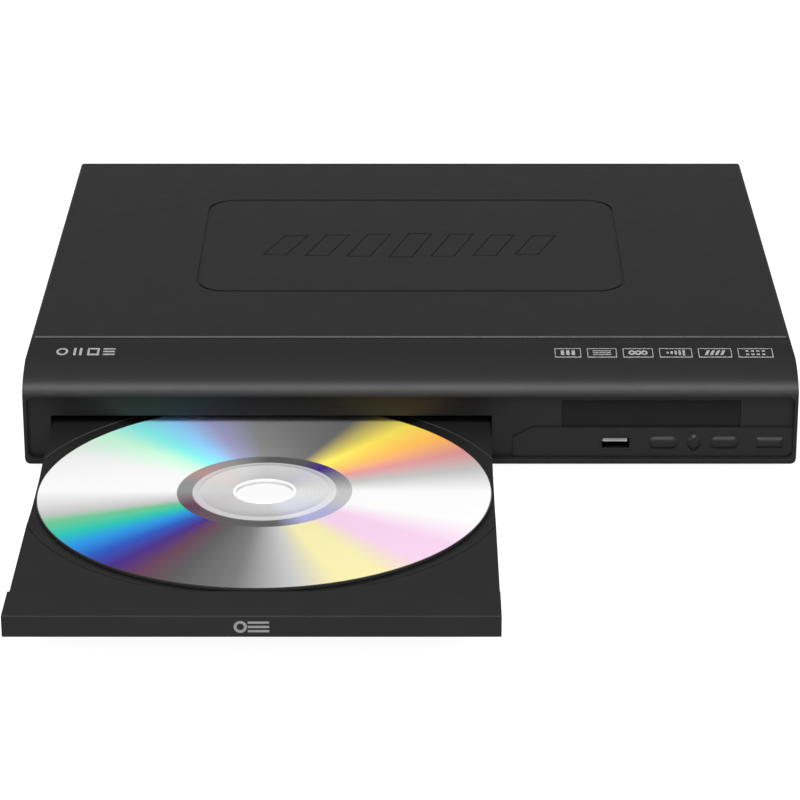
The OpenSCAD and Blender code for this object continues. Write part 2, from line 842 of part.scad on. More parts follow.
module remote_receiver() {
    x = x_window + window_w / 2 - 4;
    color("black") place() {
        block([x - 3, board_y - 4, z_window - 3.2], [x + 3, board_y, z_window + 3.2]);
        intersection() {
            translate([x, board_y - 4, z_window]) sphere(r = 2.6);
            block([x - 3, face_back_y + 1.2, z_window - 3], [x + 3, board_y - 3, z_window + 3]);
        }
    }
}

module data_port() {
    wall = 0.4;
    z = z_button - 0.2;
    color("silver") place() translate([x_port, 0, z]) difference() {
        along_y(pad_y + 0.1, board_y - pad_y - 0.1)
            square([port_w + 2 * wall, port_h + 2 * wall], center = true);
        along_y(pad_y - 1, board_y - pad_y - 1) square([port_w, port_h], center = true);
    }
}

module data_port_tongue() {
    z = z_button - 0.2;
    color("whitesmoke") place() translate([x_port, 0, z])
        along_y(pad_y + 0.8, board_y - pad_y - 2.8)
            translate([-port_w / 2 + 0.3, port_h / 2 - 1.25]) square([port_w - 0.9, 1.05]);
}

// A button: its cap, the collar that keeps it behind the face, and its stem
module button_body(x) {
    place() translate([x, 0, z_button]) {
        along_y(pad_y - button_proud, flange_y - pad_y + button_proud + TINY) children(0);
        along_y(flange_y, 1) children(1);
        rod_y_axis(0, flange_y + 1 - TINY, 0, 1.1, stem_end_y - flange_y - 1 + TINY);
    }
}

module open_button() {
    color([0.25, 0.25, 0.25]) button_body(x_play - button_pitch) {
        oval_shape(0);
        square([oval_w + 0.3, oval_h + 2], center = true);
    }
}

module play_button() {
    color([0.25, 0.25, 0.25]) button_body(x_play) {
        play_shape(0);
        square([play_w + 0.4, play_h + 2], center = true);
    }
}

module stop_button() {
    color([0.25, 0.25, 0.25]) button_body(x_play + button_pitch) {
        oval_shape(0);
        square([oval_w + 0.3, oval_h + 2], center = true);
    }
}

module power_button() {
    color([0.25, 0.25, 0.25]) button_body(x_power) {
        power_shape(0);
        square([power_w + 1, power_h + 2], center = true);
    }
}

// ---------------------------------------------------------------- loader frame

module loader_frame() {
    hook = 1.7;
    hook_z = z_disc + disc_t + 0.55;
    high_front = spindle_y - bridge_w / 2 - 3;
    high_back = spindle_y + bridge_w / 2 + 3;
    post_w = 1.8;
    bearing_x = rack_x - rack_w / 2 - 1.2 - post_w;
    color([0.16, 0.16, 0.17]) place() difference() {
        union() {
            difference() {
                block([frame_left, frame_front, z_floor], [frame_right, frame_back, z_frame]);
                block([deck_x - deck_opening_half, deck_opening_front, z_floor - 1],
                      [deck_x + deck_opening_half, frame_back - 2.4, z_frame + 1]);
            }
            for (s = [0, 1]) {
                outer = s == 0 ? frame_left : frame_right - frame_wall;
                block([outer, frame_front, z_floor],
                      [outer + frame_wall, frame_back, z_floor + low_wall_h]);
                block([outer, high_front, z_floor], [outer + frame_wall, high_back, z_wall]);
                rail = s == 0 ? frame_left : frame_right - frame_wall - 1.9;
                block([rail, frame_front, z_rail - rail_t],
                      [rail + frame_wall + (s == 0 ? 3 : 1.9), frame_back, z_rail]);
                grip = s == 0 ? frame_left : frame_right - frame_wall - hook;
                block([grip, frame_front + 6, hook_z], [grip + frame_wall + hook, frame_back, hook_z + 1]);
            }
            for (x = bridge_spots) {
                inner = x < tray_x ? frame_left : x - 2.6;
                block([inner, spindle_y - 4, z_wall - 2.2],
                      [x < tray_x ? x + 2.6 : frame_right, spindle_y + 4, z_wall]);
            }
            block([frame_left, frame_back - 1.6, z_floor], [frame_right, frame_back, z_rail]);
            block([bearing_x, pinion_y - 3, z_floor],
                  [bearing_x + post_w, pinion_y + 3, pinion_z + 2.2]);
            rod_x_axis(frame_right - TINY, pulley_y, pulley_z, pulley_pin_r,
                       pulley_x + pulley_w + 0.4 - frame_right);
            loader_bracket();
            pivot_lugs();
            cam_guides();
        }
        block([rack_x - rack_w / 2 - 1.2, pinion_y - 5.4, z_floor - 1],
              [frame_right - frame_wall - 0.4, pinion_y + 5.4, z_rail - rail_t - 0.1]);
        rod_x_axis(bearing_x - 1, pinion_y, pinion_z, shaft_r + shaft_gap, post_w + 2);
        rod_x_axis(frame_right - frame_wall - 1, pinion_y, pinion_z, shaft_r + shaft_gap, frame_wall + 2);
        for (p = frame_screw_spots)
            translate([p[0], p[1], z_floor - 1]) cylinder(r = screw_shank_r + seat_gap, h = frame_floor + 2);
        for (x = bridge_spots)
            translate([x, spindle_y, z_wall - 3]) cylinder(r = thread_r + grip_gap, h = 4);
    }
}

// Upright plate on the right of the frame that carries the loading motor
module loader_bracket() {
    half = 12;
    difference() {
        union() {
            block([bracket_x, motor_y - half, z_floor],
                  [bracket_x + bracket_t, motor_y + half, pulley_z + 8.5]);
            block([frame_right - TINY, motor_y + half - 4, z_floor],
                  [bracket_x + bracket_t, motor_y + half, z_floor + 7]);
            block([frame_right - TINY, motor_y - half, z_floor],
                  [bracket_x + bracket_t, motor_y - half + 2, z_floor + 1.2]);
        }
        rod_x_axis(bracket_x - 1, motor_y, pulley_z, 3.2, bracket_t + 2);
    }
}

// Ears at the back that hold the deck's pivot pins
module pivot_lugs() {
    ear = 2;
    for (s = [-1, 1])
        difference() {
            translate([deck_x + s * (deck_half + 2.4), 0, 0])
                block([-ear / 2, deck_pivot_y - 3, z_floor],
                      [ear / 2, frame_back - 1, deck_pivot_z + pivot_r + 0.7]);
            rod_x_axis(deck_x + s * (deck_half + 2.4) - ear, deck_pivot_y, deck_pivot_z,
                       pivot_r + shaft_gap, 2 * ear);
        }
}

// Guides that keep the cam slider upright, with a gap for the deck's nose
module cam_guides() {
    nose_gap = 4.5;
    side = deck_opening_half + 1;
    block([deck_x - side, cam_y - run_gap - 2, z_floor], [deck_x + side, cam_y - run_gap, cam_mid_z]);
    for (s = [-1, 1])
        translate([deck_x + s * (side + nose_gap) / 2, cam_y + cam_t + run_gap, z_floor])
            block([-(side - nose_gap) / 2, 0, 0], [(side - nose_gap) / 2, 1.3, cam_mid_z - z_floor - 0.5]);
}

module clamper_bridge() {
    color("silver") place() difference() {
        union() {
            block([frame_left, spindle_y - bridge_w / 2, z_wall],
                  [frame_right, spindle_y + bridge_w / 2, z_wall + sheet_t]);
            for (s = [-1, 1])
                translate([0, spindle_y + s * (bridge_w / 2 - sheet_t / 2), 0])
                    block([frame_left + 8, -sheet_t / 2, z_wall],
                          [frame_right - 8, sheet_t / 2, z_wall + 2.6]);
        }
        translate([tray_x, spindle_y, z_wall - 1]) cylinder(r = bridge_hole_r, h = 4);
        for (x = bridge_spots)
            translate([x, spindle_y, z_wall - 1]) cylinder(r = screw_shank_r + seat_gap, h = 4);
    }
}

module clamp_puck() {
    z_flange = z_wall + sheet_t + 0.15;
    color("white") place() translate([tray_x, spindle_y, 0]) difference() {
        union() {
            translate([0, 0, puck_low]) cylinder(r = puck_r, h = z_flange - puck_low + TINY);
            translate([0, 0, z_flange]) cylinder(r = bridge_hole_r + 2, h = puck_flange_t);
        }
        translate([0, 0, puck_low - 1]) cylinder(r = disc_hole / 2 + 0.6, h = 2.2);
        translate([0, 0, z_flange - 0.8]) cylinder(r = 8 + seat_gap, h = 3);
    }
}

module puck_magnet() {
    z_flange = z_wall + sheet_t + 0.15;
    color("gray") place() translate([tray_x, spindle_y, z_flange - 0.8]) difference() {
        cylinder(r = 8, h = 2.4);
        translate([0, 0, -1]) cylinder(r = 2.5, h = 5);
    }
}

// ---------------------------------------------------------------- tray and disc

module tray() {
    inner_r = seat_r - ring_width;
    slot_back = disc_y + lens_inner + pickup_travel + turret_r + 1.6;
    body_y = door_y + 4;
    color([0.19, 0.19, 0.19]) place() difference() {
        union() {
            block([tray_left, door_y + door_depth, z_tray], [tray_right, tray_back_y, z_rim]);
            block([tray_left + 2.4, body_y, z_tray + 1.5],
                  [tray_right - 2.4, door_y + door_depth + 1, z_rim]);
            for (x = [tray_left, tray_right - 5])
                block([x, tray_back_y - 6, z_tray], [x + 5, tray_back_y, z_disc + disc_t + 0.25]);
        }
        translate([tray_x, disc_y, 0]) {
            translate([0, 0, z_seat]) cylinder(r1 = seat_r, r2 = seat_r + bevel_w, h = z_rim - z_seat + TINY);
            translate([0, 0, z_seat - 0.6]) cylinder(r = inner_r, h = 3);
            translate([0, 0, z_seat - 1]) cylinder(r = small_disc_r, h = 3);
            translate([0, 0, z_tray - 1]) cylinder(r = tray_slot_r, h = 5);
        }
        block([tray_x - tray_slot_r, disc_y, z_tray - 1], [tray_x + tray_slot_r, slot_back, z_rim + 1]);
        along_x(rack_x - rack_w / 2 - fit_gap, rack_w + 2 * fit_gap)
            rack_gaps(door_y + door_depth + 0.9, tray_back_y - 3);
    }
}

// The gaps between the rack's teeth, in Y and Z, counted from the pinion's place
module rack_gaps(y_from, y_to) {
    top = rack_line_z + dedendum;
    low = z_tray - 1;
    half_mid = pitch / 4 + tooth_play / 2;
    lean = 0.36;
    half_low = half_mid + lean * (rack_line_z - low);
    half_top = half_mid - lean * dedendum;
    first = ceil((y_from - pinion_y) / pitch - 0.5);
    last = floor((y_to - pinion_y) / pitch - 0.5);
    for (i = [first:last])
        translate([pinion_y + (i + 0.5) * pitch, 0])
            polygon([[-half_low, low], [half_low, low], [half_top, top], [-half_top, top]]);
}

module tray_front() {
    color([0.19, 0.19, 0.19]) place() difference() {
        union() {
            block([tray_left, door_y, z_tray], [tray_right, door_y + door_depth - 0.05, z_door]);
            block([tray_left, door_y, z_tray - door_lip], [tray_right, door_y + door_lip_depth, z_tray + 1]);
        }
        block([tray_left + 2.4 - seat_gap, door_y + 4 - seat_gap, z_tray + 1.5 - seat_gap],
              [tray_right - 2.4 + seat_gap, door_y + door_depth + 1, z_rim + seat_gap]);
    }
}

module disc() {
    color([0.85, 0.87, 0.9]) place() translate([tray_x, disc_y, z_disc]) difference() {
        cylinder(r = disc_d / 2, h = disc_t);
        translate([0, 0, -1]) cylinder(r = disc_hole / 2, h = disc_t + 2);
        translate([0, 0, disc_t - 0.1]) difference() {
            cylinder(r = ring_r + 0.4, h = 1);
            translate([0, 0, -1]) cylinder(r = ring_r - 0.4, h = 3);
        }
    }
}

// ---------------------------------------------------------------- tray drive

module drive_pinion() {
    x0 = rack_x - rack_w / 2 - 1.2 - 1.8 - 0.4;
    color("ivory") place() {
        translate([0, pinion_y, pinion_z]) {
            along_x(rack_x - rack_w / 2 + 0.1, rack_w - 0.2)
                polygon(gear_outline(pinion_teeth, 90 + 180 / pinion_teeth));
            along_x(shaft_gear_x, shaft_gear_w) polygon(gear_outline(shaft_gear_teeth, mesh_angle));
        }
        rod_x_axis(x0, pinion_y, pinion_z, shaft_r, shaft_gear_x + shaft_gear_w - x0);
    }
}

module pulley_gear() {
    color("ivory") place() difference() {
        union() {
            translate([0, pulley_y, pulley_z])
                along_x(shaft_gear_x, pulley_x - shaft_gear_x + TINY)
                    polygon(gear_outline(pulley_teeth, mesh_angle + 180 + 180 / pulley_teeth));
            grooved_pulley(pulley_y, pulley_z, belt_r);
        }
        rod_x_axis(shaft_gear_x - 1, pulley_y, pulley_z, pulley_pin_r + shaft_gap, 10);
    }
}

// A pulley whose groove leaves the belt's inner face free
module grooved_pulley(y, z, r) {
    rim = 0.7;
    rod_x_axis(pulley_x, y, z, r - belt_t - groove_gap, pulley_w);
    rod_x_axis(pulley_x, y, z, r + 0.1, rim);
    rod_x_axis(pulley_x + pulley_w - rim, y, z, r + 0.1, rim);
}

module motor_pulley() {
    color("ivory") place() difference() {
        grooved_pulley(motor_y, pulley_z, motor_belt_r);
        rod_x_axis(pulley_x + 0.6, motor_y, pulley_z, 0.75, pulley_w);
    }
}

// A belt laid around two round pulleys: two arcs joined by two straight runs
module drive_belt() {
    lean = acos((belt_r - motor_belt_r) / belt_run);
    straight = sqrt(pow(belt_run, 2) - pow(belt_r - motor_belt_r, 2));
    color([0.1, 0.1, 0.1]) place()
        translate([pulley_x + (pulley_w - belt_w) / 2, pulley_y, pulley_z]) rotate([90, 0, 90]) {
            rotate(lean) rotate_extrude(angle = 360 - 2 * lean)
                translate([belt_r - belt_t, 0]) square([belt_t, belt_w]);
            translate([belt_run, 0, 0]) rotate(-lean) rotate_extrude(angle = 2 * lean)
                translate([motor_belt_r - belt_t, 0]) square([belt_t, belt_w]);
            for (side = [0, 1]) mirror([0, side, 0]) rotate(lean - 90)
                translate([-TINY, belt_r - belt_t, 0]) cube([straight + 2 * TINY, belt_t, belt_w]);
        }
}

module loading_motor() {
    flat = motor_d / 2 * motor_flat;
    color("silver") place() {
        intersection() {
            rod_x_axis(motor_x, motor_y, pulley_z, motor_d / 2, motor_len);
            block([motor_x - 1, motor_y - motor_d, pulley_z - flat],
                  [motor_x + motor_len + 1, motor_y + motor_d, pulley_z + flat]);
        }
        rod_x_axis(motor_x - bracket_t + 0.2, motor_y, pulley_z, 3, bracket_t);
        rod_x_axis(motor_x + motor_len - TINY, motor_y, pulley_z, 2.4, 1.4);
        for (s = [-1, 1])
            translate([motor_x + motor_len - TINY, motor_y + s * 5, pulley_z])
                block([0, -0.3, -1.2], [3, 0.3, 1.2]);
    }
}

// ---------------------------------------------------------------- sled

module sled_deck() {
    low = deck_top - deck_t;
    screw_hole_y = well_front_y - 3;
    color([0.25, 0.25, 0.27]) place() on_deck() difference() {
        union() {
            difference() {
                block([deck_x - deck_half, deck_front_y, low], [deck_x + deck_half, deck_back_y, deck_top]);
                block([deck_x - rod_x - 3, well_front_y, low - 1],
                      [deck_x + screw_x + 3, well_back_y, deck_top + 1]);
            }
            for (s = [-1, 1]) {
                block([deck_x + s * rod_x - 2, well_front_y - 3, low - 0.6],
                      [deck_x + s * rod_x + 2, well_front_y, z_tray - 0.7]);
                rod_x_axis(s < 0 ? deck_x - deck_half - 3.2 : deck_x + deck_half - TINY, deck_pivot_y,
                           deck_pivot_z, pivot_r, 3.2 + TINY);
            }
            block([deck_x + screw_x - 2, well_front_y - 3, low - 1.2],
                  [deck_x + screw_x + 2, well_front_y, deck_top]);
            for (s = [-1, 1]) translate([deck_x + s * rod_x, 0, 0])
                block([-2, well_back_y, low - 0.2], [2, deck_back_y, z_tray - 0.7]);
            block([deck_x - 3, deck_front_y - 1.2, low], [deck_x + 3, deck_front_y + 1, cam_pin_up + 1.1]);
            rod_y_axis(deck_x, cam_y, cam_pin_up, cam_pin_r, deck_front_y - cam_y);
        }
        translate([deck_x, spindle_y, low - 1]) cylinder(r = spindle_motor_d / 2 + fit_gap, h = deck_t + 2);
        for (s = [-1, 1])
            rod_y_axis(deck_x + s * rod_x, well_front_y - 2.1, rod_z, rod_r + grip_gap,
                       well_back_y + 4.2 - well_front_y);
        rod_y_axis(deck_x + screw_x, screw_hole_y + 1, screw_z, 0.6 + shaft_gap, 4);
        rod_y_axis(deck_x + screw_x, well_back_y - sled_motor_len - 1, screw_z, sled_motor_r, 30);
    }
}

module guide_rods() {
    color("lightgray") place() on_deck()
        for (s = [-1, 1])
            rod_y_axis(deck_x + s * rod_x, well_front_y - 2, rod_z, rod_r, well_back_y + 4 - well_front_y);
}

module spindle_motor() {
    high = platter_z - platter_t - run_gap;
    low = deck_top - deck_t - 0.6;
    color("silver") place() on_deck() translate([deck_x, spindle_y, 0]) difference() {
        union() {
            translate([0, 0, low]) cylinder(r = spindle_motor_d / 2, h = deck_top + 0.4 - low);
            translate([0, 0, deck_top]) cylinder(r = spindle_motor_d / 2 + 1.6, h = 0.4);
            translate([0, 0, deck_top]) cylinder(r = spindle_motor_d / 2 - 1.5, h = high - deck_top);
        }
        translate([0, 0, low + 0.5]) cylinder(r = 1 + shaft_gap, h = 10);
    }
}

module turntable() {
    low = deck_top - deck_t - 0.6;
    nose_r = disc_hole / 2 - run_gap;
    color([0.15, 0.15, 0.15]) place() on_deck() translate([deck_x, spindle_y, 0]) {
        difference() {
            translate([0, 0, platter_z - platter_t]) cylinder(r = turntable_d / 2, h = platter_t);
            translate([0, 0, platter_z - 0.4]) difference() {
                cylinder(r = turntable_d / 2 - 0.6, h = 1);
                translate([0, 0, -1]) cylinder(r = nose_r + 1, h = 3);
            }
        }
        translate([0, 0, platter_z - TINY]) cylinder(r1 = nose_r, r2 = nose_r - 0.5, h = nose_h + TINY);
        translate([0, 0, low + 0.8]) cylinder(r = 1, h = platter_z - low - 1.5);
    }
}

module turntable_mat() {
    nose_r = disc_hole / 2 - run_gap;
    color("dimgray") place() on_deck() translate([deck_x, spindle_y, platter_z - 0.4]) difference() {
        cylinder(r = turntable_d / 2 - 0.7, h = 0.4);
        translate([0, 0, -1]) cylinder(r = nose_r + 1.1, h = 3);
    }
}

module optical_pickup() {
    lens_y = spindle_y + lens_inner;
    top = z_tray - 0.6;
    low = top - 4.4;
    color([0.35, 0.36, 0.38]) place() on_deck() difference() {
        union() {
            block([deck_x - 17.4, lens_y - pickup_half, low], [deck_x + 17.4, lens_y + pickup_half, top]);
            block([deck_x + 17, lens_y - pickup_half, rod_z - 1.8],
                  [deck_x + rod_x + 2, lens_y + pickup_half, top]);
            block([deck_x - rod_x - 1.6, lens_y - 3, rod_z - 1.9], [deck_x - 17, lens_y + 3, rod_z + 1.9]);
            block([deck_x + rod_x + 1, lens_y - pickup_half, screw_z - 1.2],
                  [deck_x + screw_x - screw_r - run_gap, lens_y - pickup_half + 5, screw_z + 1.2]);
            translate([deck_x, lens_y, top - TINY]) cylinder(r = turret_r, h = 1);
        }
        rod_y_axis(deck_x + rod_x, lens_y - pickup_half - 1, rod_z, rod_r + shaft_gap, 2 * pickup_half + 2);
        block([deck_x - rod_x - 3, lens_y - 4, rod_z - rod_r - 0.08],
              [deck_x - rod_x + rod_r + 0.6, lens_y + 4, rod_z + rod_r + 0.08]);
        translate([deck_x, lens_y, top + 0.2]) cylinder(r = 3, h = 2);
    }
}

module pickup_lens() {
    lens_y = spindle_y + lens_inner;
    top = z_tray - 0.6;
    color("skyblue") place() on_deck() translate([deck_x, lens_y, top + 0.2]) {
        cylinder(r = 2.9, h = 0.5);
        intersection() {
            translate([0, 0, -1.7]) sphere(r = 3);
            translate([0, 0, 0.4]) cylinder(r = 2.4, h = 2);
        }
    }
}

module lead_screw() {
    y0 = well_front_y + fit_gap;
    length = well_back_y - sled_motor_len - 1.2 - y0;
    turns = floor(length / screw_pitch) - 1;
    color("lightgray") place() on_deck()
        translate([deck_x + screw_x, y0, screw_z]) rotate([-90, 0, 0]) {
            rotate_extrude() polygon(concat(
                [[0, 0], [screw_r - 0.3, 0]],
                [for (i = [0:turns - 1], s = [0, 1])
                    [screw_r - (s == 0 ? 0.3 : 0), 0.4 + (i + s / 2) * screw_pitch]],
                [[screw_r - 0.3, 0.4 + turns * screw_pitch], [screw_r - 0.3, length], [0, length]]));
            translate([0, 0, -1.6]) cylinder(r = 0.6, h = 2);
        }
}

module sled_motor() {
    y0 = well_back_y - sled_motor_len - 1;
    color("silver") place() on_deck()
        rod_y_axis(deck_x + screw_x, y0, screw_z, sled_motor_r - 0.1, sled_motor_len + 3.4);
}

module cam_slider() {
    turn_x = deck_x;
    slot_r = cam_pin_r + cam_play;
    far_x = turn_x - cam_travel;
    slope = atan2(cam_lift, -cam_travel);
    half = slot_r - 0.05;
    dx = half * sin(slope);
    dz = -half * cos(slope);
    color("ivory") place() along_y(cam_y, cam_t) difference() {
        translate([turn_x - cam_left, cam_low]) square([cam_left + cam_right, cam_high - cam_low]);
        translate([turn_x, cam_pin_low]) circle(r = slot_r);
        translate([far_x, cam_pin_up]) circle(r = slot_r);
        polygon([[turn_x + dx, cam_pin_low + dz], [far_x + dx, cam_pin_up + dz],
                 [far_x - dx, cam_pin_up - dz], [turn_x - dx, cam_pin_low - dz]]);
    }
}

module limit_switch() {
    x = deck_x - deck_opening_half - 14;
    color([0.12, 0.12, 0.12]) place() {
        block([x, cam_y - 2, z_frame], [x + 9, cam_y + 3, z_frame + 4.4]);
        block([x + 2, cam_y + 2.9, z_frame + 3], [x + 2.4, cam_y + 7, z_frame + 4.2]);
    }
}

// ---------------------------------------------------------------- boards

// A board on posts, with a screw hole over each post
module board(x, y, w, length, posts) {
    difference() {
        block([x, y, z_post], [x + w, y + length, z_board]);
        for (p = posts)
            translate([p[0], p[1], z_post - 1]) cylinder(r = screw_shank_r + seat_gap, h = pcb_t + 2);
    }
}

// A plastic socket for wires on a board
module socket(x, y, w, length, h) {
    block([x, y, z_board], [x + w, y + length, z_board + h]);
}

module main_board() {
    color("darkgreen") place() {
        board(main_left, main_y, main_w, main_len, main_posts);
        socket(main_left + 9, main_y + 1, 12, 4, 3);
        socket(main_left + main_w - 6, main_y + main_len - 26, 4, 12, 4);
        for (i = [0:5])
            socket(main_left + 3 + i * 3.6, main_y + 52, 2, 1.2, 0.7);
        block([main_left + 4, main_y + 60, z_board], [main_left + 12, main_y + 72, z_board + 1.2]);
        block([main_left + 15, main_y + 62, z_board], [main_left + 21, main_y + 68, z_board + 1]);
    }
}

module decoder_chip() {
    side = 16;
    color([0.1, 0.1, 0.1]) place() translate([main_left + main_w / 2, main_y + 32, z_board])
        block([-side / 2, -side / 2, 0], [side / 2, side / 2, 1.4]);
}

module chip_heatsink() {
    side = 14;
    fins = 6;
    color("lightgray") place() translate([main_left + main_w / 2, main_y + 32, z_board + 1.4]) {
        block([-side / 2, -side / 2, 0], [side / 2, side / 2, 1.2]);
        for (i = [0:fins - 1])
            translate([-side / 2 + i * (side - 1) / (fins - 1), -side / 2, 1.1]) cube([1, side, 5]);
    }
}

module board_capacitors() {
    spots = [[5, 12], [5, 20], [22, 12], [4.5, 46], [22.5, 48], [12, 14]];
    color("darkslateblue") place() for (p = spots)
        translate([main_left + p[0], main_y + p[1], z_board]) {
            cylinder(r = 2.4, h = 7.4);
            cylinder(r = 2.5, h = 1);
        }
}

// Flat cable from the main board forward to the front board
module ribbon_cable() {
    w = 9;
    t = 0.3;
    y0 = board_y + pcb_t;
    y1 = main_y + 3;
    z0 = z_button + 2;
    z1 = z_board + 3;
    rise = pulley_z + motor_d / 2 * motor_flat + 1.2;
    color("whitesmoke") place() along_x(main_left + 10.5, w) polygon([
        [y0, z0], [y0 + 3, z0], [y0 + 9, rise], [y1 - 5, rise], [y1 - t, z1 + 2], [y1 - t, z1],
        [y1, z1], [y1, z1 + 2.2], [y1 - 4.8, rise + t], [y0 + 8.8, rise + t],
        [y0 + 2.8, z0 + t], [y0, z0 + t]]);
}

module power_board() {
    color("burlywood") place() {
        board(power_left, power_y, power_board_w, power_len, power_posts);
        socket(power_left + 1, main_y + main_len - 26, 4, 12, 4);
        socket(power_left + power_board_w - 16, power_y + transformer_rise + transformer_len + 2, 6, 16, 5);
    }
}

module transformer() {
    w = 20;
    length = transformer_len;
    color("goldenrod") place() translate([power_left + 8, power_y + transformer_rise, z_board]) {
        block([0, 0, 0], [w, length, 2]);
        block([2.6, 4, 2 - TINY], [w - 2.6, length - 4, transformer_h - 1.5]);
        block([0, 2, 3.4], [w, length - 2, transformer_h - 3.4]);
        block([2, 1, transformer_h - 2.4], [w - 2, length - 1, transformer_h]);
    }
}

module filter_capacitors() {
    spots = [[11, 74, 6.5], [12, 30, 4.2], [24, 30, 4.2], [33, 30, 4.2], [12, 17, 3.2], [22, 17, 3.2]];
    color([0.12, 0.12, 0.16]) place() for (p = spots)
        translate([power_left + p[0], power_y + p[1], z_board])
            difference() {
                cylinder(r = p[2], h = capacitor_h);
                for (a = [0, 60, 120])
                    translate([0, 0, capacitor_h]) rotate(a) cube([p[2] * 1.3, 0.4, 0.3], center = true);
            }
}

module power_heatsink() {
    color("lightgray") place() translate([power_left + power_board_w - 5, power_y + 40, z_board]) {
        cube([1.6, 24, 15]);
        for (i = [0:3]) translate([-2.4, i * 7.4, 5]) cube([2.5, 1.4, 10]);
    }
}

// Four insulated wires that arch from the power board to the main board
module wire_harness() {
    x0 = main_left + main_w - 4;
    x1 = power_left + 3;
    r = (x1 - x0) / 2;
    color("firebrick") place() for (i = [0:3])
        translate([(x0 + x1) / 2, main_y + main_len - 24 + i * 2.6, z_board + 4])
            rotate([90, 0, 0]) rotate_extrude(angle = 180) translate([r, 0]) circle(r = 0.7, $fn = 24);
}

// ---------------------------------------------------------------- rear jacks

module jack_board() {
    color("darkgreen") place()
        board(jack_left, jack_y, jack_right - jack_left, jack_len, jack_posts);
}

module jack_housing() {
    color([0.12, 0.12, 0.12]) place() difference() {
        for (x = jack_xs)
            block([x - 5, jack_body_y, z_board], [x + 5, rear_y - 0.1, jack_z + 5.4]);
        for (x = jack_xs)
            rod_y_axis(x, rear_y - 4, jack_z, neck_r, 6);
    }
}

module jack_sleeves() {
    color("gold") place() for (x = jack_xs)
        translate([x, 0, jack_z]) difference() {
            union() {
                rod_y_axis(0, panel_y, 0, sleeve_r, sleeve_len);
                rod_y_axis(0, rear_y - 3.8, 0, neck_r, panel_y - rear_y + 3.8 + TINY);
            }
            rod_y_axis(0, rear_y - 5, 0, sleeve_r - 1.2, 30);
        }
}

module jack_inserts() {
    color("gold") place() for (x = jack_xs)
        translate([x, 0, jack_z]) difference() {
            rod_y_axis(0, rear_y - 3.8, 0, sleeve_r - 1.2 - 0.02, panel_y + sleeve_len - 0.6 - rear_y + 3.8);
            rod_y_axis(0, rear_y, 0, jack_hole_r, 30);
        }
}

module video_port() {
    shell_y = rear_y - 9;
    tongue_h = 1.2;
    color("silver") place() translate([video_x, 0, video_z]) {
        difference() {
            along_y(shell_y, panel_y + 0.4 - shell_y)
                square([video_w + 2 * video_shell, video_h + 2 * video_shell], center = true);
            along_y(shell_y + 1, 30) polygon([
                [-video_w / 2, video_h / 2], [video_w / 2, video_h / 2], [video_w / 2, -video_h / 2 + 1.6],
                [video_w / 2 - 1.6, -video_h / 2], [-video_w / 2 + 1.6, -video_h / 2],
                [-video_w / 2, -video_h / 2 + 1.6]]);
        }
        block([-video_w / 2 + 1.6, shell_y + TINY, 0.2], [video_w / 2 - 1.6, panel_y - 1, 0.2 + tongue_h]);
        for (s = [-1, 1])
            translate([s * (video_w / 2 - 1), shell_y + 4, 0])
                block([-0.5, -1, z_board - video_z], [0.5, 1, -video_h / 2]);
    }
}

module mains_inlet() {
    wall = sheet_t;
    y0 = panel_y + 1 - inlet_body_len;
    color([0.1, 0.1, 0.1]) place() translate([inlet_x, 0, inlet_z]) difference() {
        union() {
            along_y(y0, inlet_body_len) rounded(inlet_w + 2 * wall, inlet_h + 2 * wall, 1.8);
            along_y(panel_y + seat_gap, 1.4) rounded(inlet_w + 5, inlet_h + 4.4, 2.4);
            block([-6, y0, z_board - inlet_z], [6, y0 + 6, 0]);
        }
        along_y(y0 + 3, 30) for (s = [-1, 1])
            translate([s * (inlet_w - inlet_h) / 2, 0]) circle(r = inlet_h / 2);
        along_y(y0 + 3, 30) square([inlet_w - inlet_h, inlet_h - 1.6], center = true);
        for (s = [-1, 1])
            rod_y_axis(s * inlet_pin_pitch / 2, y0 - 1, 0, inlet_pin_r + grip_gap, 6);
    }
}

module inlet_pins() {
    y0 = panel_y + 1 - inlet_body_len;
    color("silver") place() translate([inlet_x, 0, inlet_z]) for (s = [-1, 1]) {
        rod_y_axis(s * inlet_pin_pitch / 2, y0 - 1.5, 0, inlet_pin_r, 13);
        translate([s * inlet_pin_pitch / 2, y0 - 1.5, 0])
            block([-0.5, 0, z_board - inlet_z], [0.5, 1.2, 0]);
    }
}

module inner_screws() {
    color("gainsboro") place() {
        for (p = concat(main_posts, power_posts, jack_posts))
            screw_down(p[0], p[1], z_board, pcb_t + post_h - 0.4);
        for (p = frame_screw_spots) screw_down(p[0], p[1], z_frame, frame_floor + sheet_t - 0.1);
        for (x = bridge_spots)
            translate([x, spindle_y, z_wall + sheet_t]) {
                cylinder(r = screw_head_r, h = screw_head_t);
                translate([0, 0, -sheet_t - 2.8]) cylinder(r = thread_r, h = 2.9 + sheet_t);
            }
        for (p = boss_spots)
            translate([p[0], board_y + pcb_t, p[1]]) rotate([90, 0, 0]) {
                translate([0, 0, -TINY]) cylinder(r = thread_r, h = pcb_t + 5);
                translate([0, 0, -screw_head_t]) cylinder(r = 2.2, h = screw_head_t);
            }
    }
}

